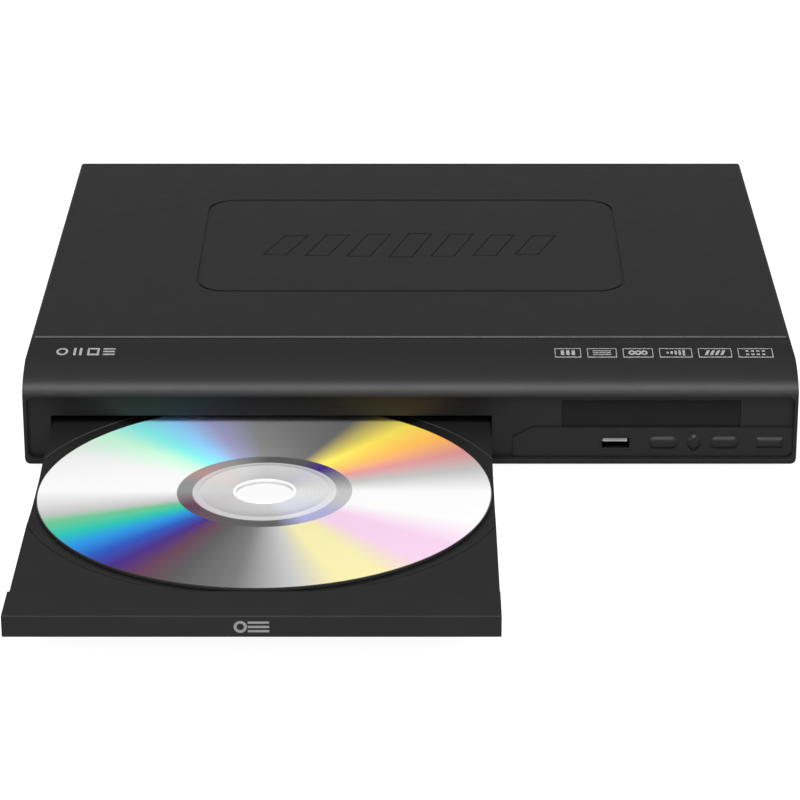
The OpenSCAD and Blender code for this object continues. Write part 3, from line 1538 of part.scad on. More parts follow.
base_pan();
board_posts();
top_cover();
rear_panel();
front_bezel();
rubber_feet();
cover_screws();
display_window();
display_module();
display_segments();
front_board();
tact_switches();
remote_receiver();
data_port();
data_port_tongue();
open_button();
play_button();
stop_button();
power_button();
loader_frame();
clamper_bridge();
clamp_puck();
puck_magnet();
tray();
tray_front();
disc();
drive_pinion();
pulley_gear();
motor_pulley();
drive_belt();
loading_motor();
sled_deck();
guide_rods();
spindle_motor();
turntable();
turntable_mat();
optical_pickup();
pickup_lens();
lead_screw();
sled_motor();
cam_slider();
limit_switch();
main_board();
decoder_chip();
chip_heatsink();
board_capacitors();
ribbon_cable();
power_board();
transformer();
filter_capacitors();
power_heatsink();
wire_harness();
jack_board();
jack_housing();
jack_sleeves();
jack_inserts();
video_port();
mains_inlet();
inlet_pins();
inner_screws();
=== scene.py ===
"""Dresses the compact disc player: its finishes, disc, printed marks and studio."""

import json
import logging
import math
from collections.abc import Callable, Sequence
from dataclasses import dataclass, field
from enum import Enum
from typing import Any

import bmesh
import bpy
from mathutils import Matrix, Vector

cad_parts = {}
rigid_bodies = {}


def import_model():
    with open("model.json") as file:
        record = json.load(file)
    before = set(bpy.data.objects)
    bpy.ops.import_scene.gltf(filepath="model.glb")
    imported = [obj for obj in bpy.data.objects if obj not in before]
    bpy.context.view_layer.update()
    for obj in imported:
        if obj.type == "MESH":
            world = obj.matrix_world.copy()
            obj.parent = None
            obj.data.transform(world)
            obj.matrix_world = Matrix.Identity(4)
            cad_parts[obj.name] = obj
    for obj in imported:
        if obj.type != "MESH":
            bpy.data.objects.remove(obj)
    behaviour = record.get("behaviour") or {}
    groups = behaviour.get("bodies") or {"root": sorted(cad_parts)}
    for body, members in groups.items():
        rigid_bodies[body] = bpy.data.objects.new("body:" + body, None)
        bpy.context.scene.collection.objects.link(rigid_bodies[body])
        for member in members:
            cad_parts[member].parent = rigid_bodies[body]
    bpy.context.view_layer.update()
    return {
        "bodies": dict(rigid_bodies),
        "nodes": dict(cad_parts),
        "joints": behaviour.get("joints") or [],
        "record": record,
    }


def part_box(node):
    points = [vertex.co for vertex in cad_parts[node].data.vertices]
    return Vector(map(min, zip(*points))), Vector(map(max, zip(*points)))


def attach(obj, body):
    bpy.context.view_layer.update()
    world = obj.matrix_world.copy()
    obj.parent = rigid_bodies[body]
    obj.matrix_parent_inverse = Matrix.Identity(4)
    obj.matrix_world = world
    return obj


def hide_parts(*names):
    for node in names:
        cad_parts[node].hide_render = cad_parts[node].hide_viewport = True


LOG = logging.getLogger("disc_player")
MM = 0.001
COAT_ROUGHNESS = 0.08

Colour = tuple[float, float, float]
Point = tuple[float, float]
Stops = Sequence[tuple[float, Colour]]


def grey(level: float, warm: float = 0.0) -> Colour:
    """A neutral linear colour, a little warm or cool.

    Args:
        level: Linear lightness from 0 to 1.
        warm: Share moved from blue to red.

    Returns:
        The linear colour.
    """
    return (level * (1 + warm), level, level * (1 - warm))


def shade(colour: Colour, factor: float) -> Colour:
    """A lighter or darker form of a colour.

    Args:
        colour: The linear colour.
        factor: What each channel is multiplied by.

    Returns:
        The linear colour.
    """
    red, green, blue = (min(1.0, channel * factor) for channel in colour)
    return (red, green, blue)


def opaque(colour: Colour) -> tuple[float, float, float, float]:
    """The colour with full alpha."""
    return (*colour, 1.0)


# ---- shader graphs


def operator(operation: str, swap: bool = False) -> Callable[["Value", Any], "Value"]:
    """Makes the method behind one of Python's operators.

    Args:
        operation: Blender's name of the operation.
        swap: True where the value is the second operand.

    Returns:
        The method, which adds one Math node.
    """

    def method(value: "Value", other: "Value | float") -> "Value":
        """Adds the node."""
        return value.maths(operation, other, swap=swap)

    return method


class Value:
    """A number socket whose arithmetic adds Math nodes."""

    __add__, __radd__ = operator("ADD"), operator("ADD", swap=True)
    __sub__, __rsub__ = operator("SUBTRACT"), operator("SUBTRACT", swap=True)
    __mul__, __rmul__ = operator("MULTIPLY"), operator("MULTIPLY", swap=True)
    __truediv__, __rtruediv__ = operator("DIVIDE"), operator("DIVIDE", swap=True)
    __pow__, __rpow__ = operator("POWER"), operator("POWER", swap=True)
    __gt__, __lt__ = operator("GREATER_THAN"), operator("LESS_THAN")

    def __init__(self, graph: "Graph", socket: bpy.types.NodeSocket) -> None:
        """Keeps the graph and the socket."""
        self.graph = graph
        self.socket = socket

    def maths(self, operation: str, *others: "Value | float", swap: bool = False) -> "Value":
        """Adds one Math node.

        Args:
            operation: Blender's name of the operation.
            others: The second and third operands.
            swap: True where this value is the second operand.

        Returns:
            The result.
        """
        terms = [*others, self] if swap else [self, *others]
        node = self.graph.node("ShaderNodeMath", {"operation": operation}, dict(enumerate(terms)))
        return Value(self.graph, node.outputs[0])

    def wave(self, length: float) -> "Value":
        """A sine between 0 and 1 that repeats every length."""
        return (self * (2 * math.pi / length)).maths("SINE") * 0.5 + 0.5

    def angle_from(self, across: "Value") -> "Value":
        """The angle of the point (across, this value), in radians."""
        return self.maths("ARCTAN2", across)

    def rise(self, start: float, width: float) -> "Value":
        """A soft step from 0 at start to 1 at start + width."""
        node = self.graph.node(
            "ShaderNodeMapRange",
            {"interpolation_type": "SMOOTHSTEP"},
            {"Value": self, "From Min": start, "From Max": start + width},
        )
        return Value(self.graph, node.outputs[0])


class Graph:
    """The node tree of a material or a world, and short ways to add to it."""

    def __init__(self, owner: bpy.types.Material | bpy.types.World) -> None:
        """Empties the owner's node tree.

        Args:
            owner: The material or the world.
        """
        self.owner = owner
        owner.use_nodes = True
        self.tree = owner.node_tree
        self.tree.nodes.clear()

    def node(
        self,
        kind: str,
        settings: dict[str, Any] | None = None,
        inputs: dict[str | int, Any] | None = None,
    ) -> bpy.types.Node:
        """Adds one node.

        Args:
            kind: Blender's type of the node.
            settings: Its settings; "stops" holds a ramp's places and colours.
            inputs: Values or links of its sockets, by name or number.

        Returns:
            The node.
        """
        node = self.tree.nodes.new(kind)
        for key, setting in (settings or {}).items():
            if key == "stops":
                self._set_stops(node.color_ramp, setting)
            elif key == "interpolation":
                node.color_ramp.interpolation = setting
            else:
                setattr(node, key, setting)
        for key, given in (inputs or {}).items():
            socket = given.socket if isinstance(given, Value) else given
            if isinstance(socket, bpy.types.NodeSocket):
                self.tree.links.new(socket, node.inputs[key])
            else:
                node.inputs[key].default_value = socket
        return node

    @staticmethod
    def _set_stops(ramp: bpy.types.ColorRamp, stops: Stops) -> None:
        """Gives a ramp its stops, which are in order."""
        while len(ramp.elements) < len(stops):
            ramp.elements.new(1.0)
        for element, (place, colour) in zip(ramp.elements, stops):
            element.position = place
            element.color = opaque(colour)

    def place(self) -> bpy.types.NodeSocket:
        """Where the surface point is on the piece at rest, in metres."""
        return self.node("ShaderNodeTexCoord").outputs["Object"]

    def axes(self) -> tuple[Value, Value, Value]:
        """X, Y and Z of the surface point."""
        node = self.node("ShaderNodeSeparateXYZ", None, {0: self.place()})
        return tuple(Value(self, output) for output in node.outputs)

    def noise(
        self, size: float, detail: float = 2.0, stretch: Sequence[float] = (1, 1, 1)
    ) -> Value:
        """Smooth noise.

        Args:
            size: Size of one blotch in metres.
            detail: Levels of finer noise.
            stretch: How much longer a blotch is along each axis.

        Returns:
            The noise, from 0 to 1.
        """
        scale = [1 / (size * length) for length in stretch]
        mapped = self.node("ShaderNodeMapping", None, {"Vector": self.place(), "Scale": scale})
        inputs = {"Vector": mapped.outputs[0], "Scale": 1.0, "Detail": detail}
        return Value(self, self.node("ShaderNodeTexNoise", None, inputs).outputs[0])

    def cells(self, size: float) -> Value:
        """A random number for each cell of a crystal pattern."""
        node = self.node("ShaderNodeTexVoronoi", None, {"Vector": self.place(), "Scale": 1 / size})
        split = self.node("ShaderNodeSeparateColor", None, {0: node.outputs["Color"]})
        return Value(self, split.outputs[0])

    def ramp(self, place: Value, stops: Stops, kind: str = "LINEAR") -> Any:
        """A colour that follows a number through stops."""
        settings = {"interpolation": kind, "stops": stops}
        return self.node("ShaderNodeValToRGB", settings, {0: place}).outputs[0]

    def blend(self, factor: Any, low: Any, high: Any, mode: str = "MIX") -> Any:
        """A mix of two colours.

        Args:
            factor: Share of the second colour.
            low: The first colour or its link.
            high: The second colour or its link.
            mode: Blender's blend mode.

        Returns:
            The colour's output socket.
        """
        settings = {"data_type": "RGBA", "blend_type": mode}
        colours = [opaque(c) if isinstance(c, tuple) else c for c in (low, high)]
        node = self.node("ShaderNodeMix", settings, {0: factor, 6: colours[0], 7: colours[1]})
        return node.outputs[2]

    def bump(self, height: Value, relief: float) -> bpy.types.NodeSocket:
        """A normal that follows a height.

        Args:
            height: The height from 0 to 1.
            relief: What a height of 1 measures, in metres.

        Returns:
            The normal's output socket.
        """
        node = self.node("ShaderNodeBump", None, {"Height": height, "Distance": relief})
        return node.outputs[0]

    def close(self, inputs: dict[str, Any]) -> bpy.types.Material:
        """Ends the tree with a Principled shader.

        Args:
            inputs: Values or links of the shader's sockets.

        Returns:
            The material.
        """
        shader = self.node("ShaderNodeBsdfPrincipled", None, inputs)
        self.node("ShaderNodeOutputMaterial", None, {0: shader.outputs[0]})
        return self.owner


# ---- finishes


@dataclass(frozen=True)
class Finish:
    """A plain surface with grain, slow changes of tone and worn-in gloss.

    Attributes:
        name: The material's name.
        colour: Linear base colour.
        roughness: Roughness at its middle.
        metallic: One for bare metal.
        specular: Strength of the plain reflection, 0.5 for most plastics.
        coat: Weight of a clear coat.
        edge_tint: How much of a metal's glare is left at a flat angle.
        grain: Size of the grain in metres.
        relief: Height of the grain in metres.
        mottle: Share by which the colour wanders.
        patch: Size of that wandering in metres.
        gloss_drift: How much the roughness wanders.
        stretch: How much longer the grain is along each axis.
    """

    name: str
    colour: Colour
    roughness: float
    metallic: float = 0.0
    specular: float = 0.5
    coat: float = 0.0
    edge_tint: float = 1.0
    grain: float = 0.35 * MM
    relief: float = 0.02 * MM
    mottle: float = 0.08
    patch: float = 9 * MM
    gloss_drift: float = 0.06
    stretch: tuple[float, float, float] = (1.0, 1.0, 1.0)

    def tone(self, graph: Graph) -> Any:
        """The base colour's socket."""
        slow = graph.noise(self.patch, 3.0, self.stretch)
        dark, light = (shade(self.colour, 1 + part) for part in (-self.mottle, self.mottle))
        return graph.blend(slow, dark, light)

    def gloss(self, graph: Graph) -> Value:
        """The roughness socket."""
        return graph.noise(self.patch * 0.4, 2.0, self.stretch) * self.gloss_drift + (
            self.roughness - self.gloss_drift / 2
        )

    def height(self, graph: Graph) -> Value:
        """The relief, from 0 to 1."""
        return graph.noise(self.grain, 2.0, self.stretch)

    def extra(self, graph: Graph) -> dict[str, Any]:
        """More sockets of the shader, by name."""
        return {}

    def material(self) -> bpy.types.Material:
        """Builds the material, once for each name."""
        known = bpy.data.materials.get(self.name)
        if known is not None:
            return known
        graph = Graph(bpy.data.materials.new(self.name))
        inputs = {
            "Base Color": self.tone(graph),
            "Roughness": self.gloss(graph),
            "Metallic": self.metallic,
            "Specular IOR Level": self.specular,
            "Coat Weight": self.coat,
            "Coat Roughness": COAT_ROUGHNESS,
            "Specular Tint": opaque(grey(self.edge_tint)),
            "Normal": graph.bump(self.height(graph), self.relief),
        }
        return graph.close({**inputs, **self.extra(graph)})


@dataclass(frozen=True)
class Plated(Finish):
    """Plated sheet, whose crystals catch the light apart."""

    crystal: float = 2.2 * MM

    def tone(self, graph: Graph) -> Any:
        """Colour that changes from crystal to crystal."""
        dark = shade(self.colour, 1 - self.mottle)
        return graph.blend(graph.cells(self.crystal), dark, self.colour)

    def gloss(self, graph: Graph) -> Value:
        """Roughness that changes from crystal to crystal."""
        return graph.cells(self.crystal) * self.gloss_drift + self.roughness


@dataclass(frozen=True)
class SolderMask(Finish):
    """A lacquered board with copper traces under the lacquer and bright pads.

    Attributes:
        trace: Pitch of the traces in metres.
        trace_from: Height of the pitch's wave above which a trace lies.
        runs: Size of the fields that the traces along Y and along X fill.
        gaps: Share of the board that each of the two leaves bare.
        pad_pitch: Pitch of the pads in metres.
        pad_r: Radius of a pad, as a share of its pitch.
        copper: How much lighter the lacquer is over a trace.
        tin: Grey level of the pads.
    """

    trace: float = 1.3 * MM
    trace_from: float = 0.72
    runs: Point = (7 * MM, 8 * MM)
    gaps: Point = (0.5, 0.55)
    pad_pitch: float = 3.4 * MM
    pad_r: float = 0.17
    copper: float = 1.8
    tin: float = 0.55

    def _traces(self, graph: Graph) -> Value:
        """One over a copper trace, else zero."""
        x, y, _ = graph.axes()
        fields = [
            graph.noise(run, 0.0, stretch) > gap
            for run, gap, stretch in zip(self.runs, self.gaps, ((1, 3, 1), (3, 1, 1)))
        ]
        rows = (x.wave(self.trace) > self.trace_from) * fields[0]
        columns = (y.wave(self.trace) > self.trace_from) * fields[1]
        return (rows + columns).maths("MINIMUM", 1.0)

    def _pads(self, graph: Graph) -> Value:
        """One on a tinned pad, else zero."""
        inputs = {"Vector": graph.place(), "Scale": 1 / self.pad_pitch}
        node = graph.node("ShaderNodeTexVoronoi", None, inputs)
        return Value(graph, node.outputs["Distance"]) < self.pad_r

    def tone(self, graph: Graph) -> Any:
        """Mask, lighter over the traces, with tinned pads."""
        mask = graph.blend(self._traces(graph), self.colour, shade(self.colour, self.copper))
        return graph.blend(self._pads(graph), mask, grey(self.tin))

    def height(self, graph: Graph) -> Value:
        """Raised traces and pads."""
        return self._traces(graph) * 0.5 + self._pads(graph) * 0.5


@dataclass(frozen=True)
class Layered(Finish):
    """A piece whose colour changes in bands along one axis.

    Attributes:
        axis: 0, 1 or 2 for X, Y or Z.
        bands: Lower edge of each band in metres, with its colour.
        shiny_from: Where bare metal starts, in metres, or None.
        wear: Grey level of the wear.
    """

    axis: int = 2
    bands: tuple[tuple[float, Colour], ...] = ()
    shiny_from: float | None = None
    wear: float = 0.25

    def tone(self, graph: Graph) -> Any:
        """Each band's colour, with a little wear."""
        along = graph.axes()[self.axis]
        low, high = self.bands[0][0], self.bands[-1][0] + MM
        stops = [((edge - low) / (high - low), colour) for edge, colour in self.bands]
        banded = graph.ramp((along - low) / (high - low), stops, "CONSTANT")
        worn = graph.noise(self.patch, 3.0) * self.mottle
        return graph.blend(worn, banded, grey(self.wear))

    def extra(self, graph: Graph) -> dict[str, Any]:
        """Bare metal above shiny_from."""
        if self.shiny_from is None:
            return {}
        return {"Metallic": graph.axes()[self.axis] > self.shiny_from}


@dataclass(frozen=True)
class Striped(Finish):
    """Fine lines along one axis, as on flat cable or a screw's thread."""

    axis: int = 0
    pitch: float = 0.6 * MM
    contrast: float = 0.5
    light_from: float = 0.55

    def tone(self, graph: Graph) -> Any:
        """Lines in two tones."""
        line = graph.axes()[self.axis].wave(self.pitch) > self.light_from
        return graph.blend(line, shade(self.colour, 1 - self.contrast), self.colour)

    def height(self, graph: Graph) -> Value:
        """Rounded ridges."""
        return graph.axes()[self.axis].wave(self.pitch)


class Tint(Enum):
    """Painted reflection colours of a mirrored disc: the rainbow it splits white light into, white
    painted glare and dark painted shade.
    """

    WHITE = (0.7, 0.7, 0.7)
    SILVER = (0.4, 0.4, 0.4)
    GREY = (0.2, 0.2, 0.2)
    SMOKE = (0.12, 0.12, 0.12)
    SLATE = (0.06, 0.06, 0.06)
    ROSE = (0.35, 0.2, 0.2)
    YELLOW = (0.85, 0.7, 0.1)
    ORANGE = (0.9, 0.45, 0.1)
    RED = (0.6, 0.25, 0.25)
    PINK = (0.65, 0.45, 0.6)
    CREAM = (0.65, 0.6, 0.3)
    MINT = (0.5, 0.8, 0.6)
    AQUA = (0.2, 0.75, 0.7)
    SKY = (0.25, 0.55, 0.85)
    LILAC = (0.3, 0.3, 0.5)
    GREEN = (0.1, 0.4, 0.2)
    TEAL = (0.0, 0.4, 0.3)
    AZURE = (0.0, 0.2, 0.55)
    BLUE = (0.0, 0.05, 0.35)
    VIOLET = (0.03, 0.0, 0.15)
    PLUM = (0.08, 0.02, 0.05)


@dataclass(frozen=True)
class Fan:
    """Tints of painted reflection spread evenly between two angles of the disc.

    Attributes:
        start: Angle of the first tint, in degrees from the disc's right side.
        end: Angle of the last tint.
        tints: The tints in order, two or more.
    """

    start: float
    end: float
    tints: tuple[Tint, ...]

    def stops(self) -> list[tuple[float, Colour]]:
        """The turn from 0 to 1 of each tint, with its colour."""
        step = (self.end - self.start) / (len(self.tints) - 1)
        turns = ((self.start + i * step + 180) / 360 for i in range(len(self.tints)))
        return [(turn, tint.value) for turn, tint in zip(turns, self.tints)]


@dataclass(frozen=True)
class DiscFoil(Finish):
    """A mirrored disc whose base colour holds painted reflection: colour fans round the recorded
    band, a dark inner band and a clear hub.

    Attributes:
        centre: The disc's centre in metres.
        hole_glint_r: Radius where the painted highlight on the hole's rim ends.
        hub_r: Radius where the clear hub ends.
        band_r: Radius where the recorded band starts.
        edge_r: Radius where the foil ends; past it the edge is painted near black as painted shade.
        fans: Painted reflection of the recorded band, with painted glare and shade, once round from
            the left side.
        band_fans: Painted reflection of the inner band and the hub.
        hub_grey: Grey level of the clear hub.
        hub_share: Share of that grey over the band's colours.
        hub_rings: Pitch in metres and strength of the hub's rings.
    """

    centre: Point = (0.0, 0.0)
    hole_glint_r: float = 8.2 * MM
    hub_r: float = 18.9 * MM
    band_r: float = 23.0 * MM
    edge_r: float = 59.65 * MM
    fans: tuple[Fan, ...] = ()
    band_fans: tuple[Fan, ...] = ()
    hub_grey: float = 0.66
    hub_share: float = 0.6
    hub_rings: Point = (1.1 * MM, 0.12)

    def _polar(self, graph: Graph) -> tuple[Value, Value]:
        """The radius in metres, and the turn from 0 to 1."""
        x, y, _ = graph.axes()
        dx, dy = x - self.centre[0], y - self.centre[1]
        radius = (dx * dx + dy * dy) ** 0.5
        return radius, dy.angle_from(dx) / (2 * math.pi) + 0.5

    @staticmethod
    def _fan(graph: Graph, turn: Value, fans: tuple[Fan, ...]) -> Any:
        """Colour by angle."""
        return graph.ramp(turn, [stop for fan in fans for stop in fan.stops()])

    def tone(self, graph: Graph) -> Any:
        """Recorded band, inner band, hub and edge, each with painted reflection, highlight and
        shade of its own.
        """
        radius, turn = self._polar(graph)
        data = self._fan(graph, turn, self.fans)
        band = self._fan(graph, turn, self.band_fans)
        hub = graph.blend(self.hub_share, band, grey(self.hub_grey))
        pitch, strength = self.hub_rings
        hub = graph.blend(radius.wave(pitch) * strength, hub, grey(0.35))
        # Painted highlight: near white inside hole_glint_r, where the clear hub's rim catches the
        # light.
        hub = graph.blend(radius.rise(self.hole_glint_r, 0.15 * MM), grey(0.9), hub)
        inner = graph.blend(radius.rise(self.hub_r, 0.25 * MM), hub, band)
        foil = graph.blend(radius.rise(self.band_r, 0.25 * MM), inner, data)
        # Past edge_r the foil ends, and the clear edge is painted near black as painted shade round
        # the disc.
        return graph.blend(radius.rise(self.edge_r, 0.15 * MM), foil, grey(0.03))

    def gloss(self, graph: Graph) -> Value:
        """Smooth foil with the faintest rings."""
        radius, _ = self._polar(graph)
        return radius.wave(2.3 * MM) * 0.03 + self.roughness

    def height(self, graph: Graph) -> Value:
        """Fine turned rings."""
        radius, _ = self._polar(graph)
        return radius.wave(0.9 * MM)


# ---- mesh tools

WELD_REACH = 0.002 * MM
FLAT_DEG = 0.6
ROUND_FROM_DEG = 32.0
ROUND_STEPS = 3
LEAST_CORNER = 0.05 * MM


def finished(
    name: str, mesh: bmesh.types.BMesh, finish: Finish, smooth_deg: float = 35.0
) -> bpy.types.Object:
    """Turns a built mesh into an object with its material.

    Args:
        name: The piece's name.
        mesh: The built mesh, freed here.
        finish: Its finish.
        smooth_deg: Edges flatter than this are shaded smooth.

    Returns:
        The object.
    """
    bmesh.ops.recalc_face_normals(mesh, faces=mesh.faces)
    limit = math.radians(smooth_deg)
    for face in mesh.faces:
        face.smooth = True
    for edge in mesh.edges:
        edge.smooth = len(edge.link_faces) == 2 and edge.calc_face_angle(0.0) < limit
    data = bpy.data.meshes.new(name)
    mesh.to_mesh(data)
    mesh.free()
    data.materials.append(finish.material())
    made = bpy.data.objects.new(name, data)
    bpy.context.scene.collection.objects.link(made)
    return made


def soften(piece: bpy.types.Object, width: float) -> None:
    """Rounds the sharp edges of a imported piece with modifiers.

    Args:
        piece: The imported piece.
        width: Width of the rounding in metres.
    """
    weld = piece.modifiers.new("weld", "WELD")
    weld.merge_threshold = WELD_REACH
    flat = piece.modifiers.new("flat", "DECIMATE")
    flat.decimate_type = "DISSOLVE"
    flat.angle_limit = math.radians(FLAT_DEG)
    bevel = piece.modifiers.new("round", "BEVEL")
    bevel.width = width
    bevel.segments = ROUND_STEPS
    bevel.limit_method = "ANGLE"
    bevel.angle_limit = math.radians(ROUND_FROM_DEG)
    bevel.use_clamp_overlap = True
    bevel.miter_outer = "MITER_ARC"
    normals = piece.modifiers.new("shade", "WEIGHTED_NORMAL")
    normals.keep_sharp = False


def loft(mesh: bmesh.types.BMesh, rings: Sequence[Sequence[Vector]], closed: bool = False) -> None:
    """Skins rings of equal length; the ends are filled unless the rings run round.

    Args:
        mesh: The mesh to add to.
        rings: Corners of each ring, in order.
        closed: True where the last ring joins the first.
    """
    made = [[mesh.verts.new(spot) for spot in ring] for ring in rings]
    after = made[1:] + ([made[0]] if closed else [])
    for ring, following in zip(made, after):
        count = len(ring)
        for i in range(count):
            j = (i + 1) % count
            mesh.faces.new((ring[i], ring[j], following[j], following[i]))
    if not closed:
        mesh.faces.new(made[0])
        mesh.faces.new(made[-1])


def lathe(mesh: bmesh.types.BMesh, profile: Sequence[Point], centre: Vector, steps: int) -> None:
    """Turns a closed profile about a vertical axis.

    Args:
        mesh: The mesh to add to.
        profile: Radius and height of each corner, in metres.
        centre: A point on the axis; heights count from it.
        steps: Parts of the turn.
    """
    turns = [2 * math.pi * step / steps for step in range(steps)]
    rings = [
        [centre + Vector((r * math.cos(turn), r * math.sin(turn), h)) for r, h in profile]
        for turn in turns
    ]
    loft(mesh, rings, closed=True)


def round_corners(
    corners: Sequence[Point], radius: float, inset: float, steps: int = 5
) -> list[Point]:
    """The outline of a convex shape with rounded corners, moved inwards.

    Args:
        corners: The sharp corners, counter-clockwise.
        radius: Radius of the corners where the inset is zero.
        inset: How far the outline moves inwards.
        steps: Parts of each corner.

    Returns:
        The outline's points.
    """
    round_r = max(radius - inset, LEAST_CORNER)
    outline = []
    for k, corner in enumerate(corners):
        here = Vector(corner)
        along = [(here - Vector(corners[k - 1])), Vector(corners[(k + 1) % len(corners)]) - here]
        out = [Vector((step.y, -step.x)).normalized() for step in along]
        inner = here - (out[0] + out[1]) * ((inset + round_r) / (1 + out[0].dot(out[1])))
        first = math.atan2(out[0].y, out[0].x)
        sweep = out[0].angle(out[1])
        for step in range(steps + 1):
            turn = first + sweep * step / steps
            outline.append((inner.x + round_r * math.cos(turn), inner.y + round_r * math.sin(turn)))
    return outline


@dataclass
class Inlay:
    """Thin shapes laid on a surface: each is a grid of small cells in the surface's own plane.

    Attributes:
        cell: Largest cell upwards, in metres, so that the shape follows a curve.
        cell_share: How many times as wide as that a cell may be.
        ring_steps: Parts of a ring.
    """

    cell: float = 0.6 * MM
    cell_share: int = 4
    ring_steps: int = 28
    patches: list[list[list[Point]]] = field(default_factory=list)

    def bar(self, x: float, y: float, w: float, h: float, lean: float = 0.0) -> None:
        """A bar centred on a point.

        Args:
            x: Middle across.
            y: Middle up.
            w: Width.
            h: Height.
            lean: How far the top lies to the right of the foot.
        """
        columns = max(1, math.ceil(w / self.cell / self.cell_share))
        rows = max(1, math.ceil(h / self.cell))
        patch = []
        for j in range(rows + 1):
            slide, up = lean * (j / rows - 0.5), y - h / 2 + h * j / rows
            patch.append([(x - w / 2 + w * i / columns + slide, up) for i in range(columns + 1)])
        self.patches.append(patch)

    def frame(self, x: float, y: float, w: float, h: float, line: Point) -> None:
        """An outlined box centred on a point; line holds its line widths across and up."""
        for side in (-1, 1):
            self.bar(x, y + side * (h - line[1]) / 2, w, line[1])
            self.bar(x + side * (w - line[0]) / 2, y, line[0], h - 2 * line[1])

    def ring(self, x: float, y: float, outer: float, inner: float, tall: float = 1.0) -> None:
        """A ring that is tall times as high as it is wide."""
        turns = [2 * math.pi * i / self.ring_steps for i in range(self.ring_steps + 1)]
        patch = []
        for r in (inner, outer):
            patch.append([(x + r * math.cos(t), y + tall * r * math.sin(t)) for t in turns])
        self.patches.append(patch)

    def build(
        self, name: str, onto: Callable[[float, float], Vector], thickness: float, finish: Finish
    ) -> bpy.types.Object:
        """Lays the shapes on the surface.

        Args:
            name: The piece's name.
            onto: Gives the surface point of a place in the plane.
            thickness: Thickness of the shapes.
            finish: Their finish.

        Returns:
            The object.
        """
        mesh = bmesh.new()
        for patch in self.patches:
            rows = [[mesh.verts.new(onto(*spot)) for spot in row] for row in patch]
            for low, high in zip(rows, rows[1:]):
                for i in range(len(low) - 1):
                    mesh.faces.new((low[i], low[i + 1], high[i + 1], high[i]))
        bmesh.ops.remove_doubles(mesh, verts=mesh.verts, dist=0.001 * MM)
        bmesh.ops.recalc_face_normals(mesh, faces=mesh.faces)
        bmesh.ops.solidify(mesh, geom=mesh.faces, thickness=thickness)
        return finished(name, mesh, finish)


# ---- finishes in use


def satin(name: str, level: float, roughness: float, **given: float) -> Finish:
    """A black paint or moulding, with the reflection of a dark metal.

    Args:
        name: The material's name.
        level: Grey level of its colour.
        roughness: Roughness at its middle.
        given: Other fields of the finish.

    Returns:
        The finish.
    """
    usual = {"metallic": 0.8, "specular": 0.01, "edge_tint": 0.6}
    return Finish(name, grey(level), roughness, **{**usual, **given})


COVER_PAINT = satin("cover_black_paint", 0.0175, 0.44, grain=0.3 * MM, relief=0.012 * MM)
BEZEL_ABS = satin(
    "bezel_satin_abs",
    0.0275,
    0.38,
    metallic=0.7,
    edge_tint=0.42,
    grain=0.22 * MM,
    relief=0.004 * MM,
)
TRAY_ABS = satin(
    "tray_fine_grain", 0.0245, 0.5, edge_tint=0.5, grain=0.4 * MM, relief=0.014 * MM
)
# The tray's plastic, made lighter on the door as painted light for its upright face.
DOOR_ABS_LIGHTENED = satin("door_satin_abs_lightened", 0.03, 0.45, edge_tint=0.4, grain=0.3 * MM, relief=0.006 * MM)
CAP_ABS = satin(
    "button_cap", 0.0275, 0.34, metallic=0.7, edge_tint=0.42, grain=0.2 * MM, relief=0.003 * MM
)
SMOKED = Finish("smoked_acrylic", grey(0.012), 0.14, specular=0.06, relief=0.0005 * MM, mottle=0.2)
INK = Finish("printed_light_ink", grey(0.26), 0.6, relief=0.002 * MM, patch=1.5 * MM, mottle=0.12)
PRESSED = satin("pressed_paint", 0.019, 0.42, grain=0.3 * MM, relief=0.01 * MM)
# Painted highlight: paint lighter than the tray, for the glint along the seat's edge.
SEAT_HIGHLIGHT_PAINT = satin("seat_painted_highlight", 0.06, 0.4, relief=0.006 * MM)
# Painted highlight: paint lighter than the cover for the glint on the front hem.
HEM_HIGHLIGHT_PAINT = satin("hem_painted_highlight", 0.06, 0.4, relief=0.006 * MM)
ZINC = Plated(
    "zinc_sheet", grey(0.56, -0.02), 0.34, 1.0, mottle=0.16, gloss_drift=0.1, relief=0.004 * MM
)
STEEL = Finish(
    "ground_steel", grey(0.58), 0.26, 1.0, grain=0.12 * MM, relief=0.003 * MM, stretch=(1, 12, 1)
)
NICKEL = Finish("nickel_magnet", grey(0.6, 0.03), 0.2, metallic=1.0, relief=0.002 * MM)
DARK = Finish("dark_moulding", grey(0.014), 0.5, specular=0.35, relief=0.01 * MM)
# Painted shade: near-black strips put where grooves and wall shadows would be dark.
PAINTED_SHADE = Finish("dark_painted_shade", grey(0.006), 0.7, specular=0.02, relief=0.01 * MM)
GLASS_FILLED = Finish("glass_filled_black", grey(0.02), 0.55, grain=0.5 * MM, mottle=0.15)
ACETAL = Finish("acetal", (0.74, 0.71, 0.62), 0.32, mottle=0.05, relief=0.004 * MM)
RUBBER = Finish(
    "rubber", grey(0.012), 0.8, specular=0.2, grain=0.25 * MM, relief=0.03 * MM, mottle=0.2
)
GREEN_BOARD = SolderMask("green_board", (0.012, 0.11, 0.04), 0.3)
TAN_BOARD = SolderMask("paper_board", (0.46, 0.31, 0.15), 0.55, trace=2.4 * MM)
CHIP = Finish("chip_epoxy", grey(0.018), 0.45, grain=0.15 * MM, relief=0.01 * MM)
FINS = Finish(
    "extruded_aluminium",
    grey(0.66),
    0.34,
    metallic=1.0,
    grain=0.1 * MM,
    relief=0.004 * MM,
    stretch=(1, 14, 1),
)
GOLD = Finish("gold_colour_plate", (0.78, 0.56, 0.22), 0.24, metallic=1.0, relief=0.002 * MM)
TONGUE = Finish("port_tongue", grey(0.5), 0.4, relief=0.002 * MM)
BARS = Finish("unlit_bars", grey(0.14), 0.5, relief=0.002 * MM)
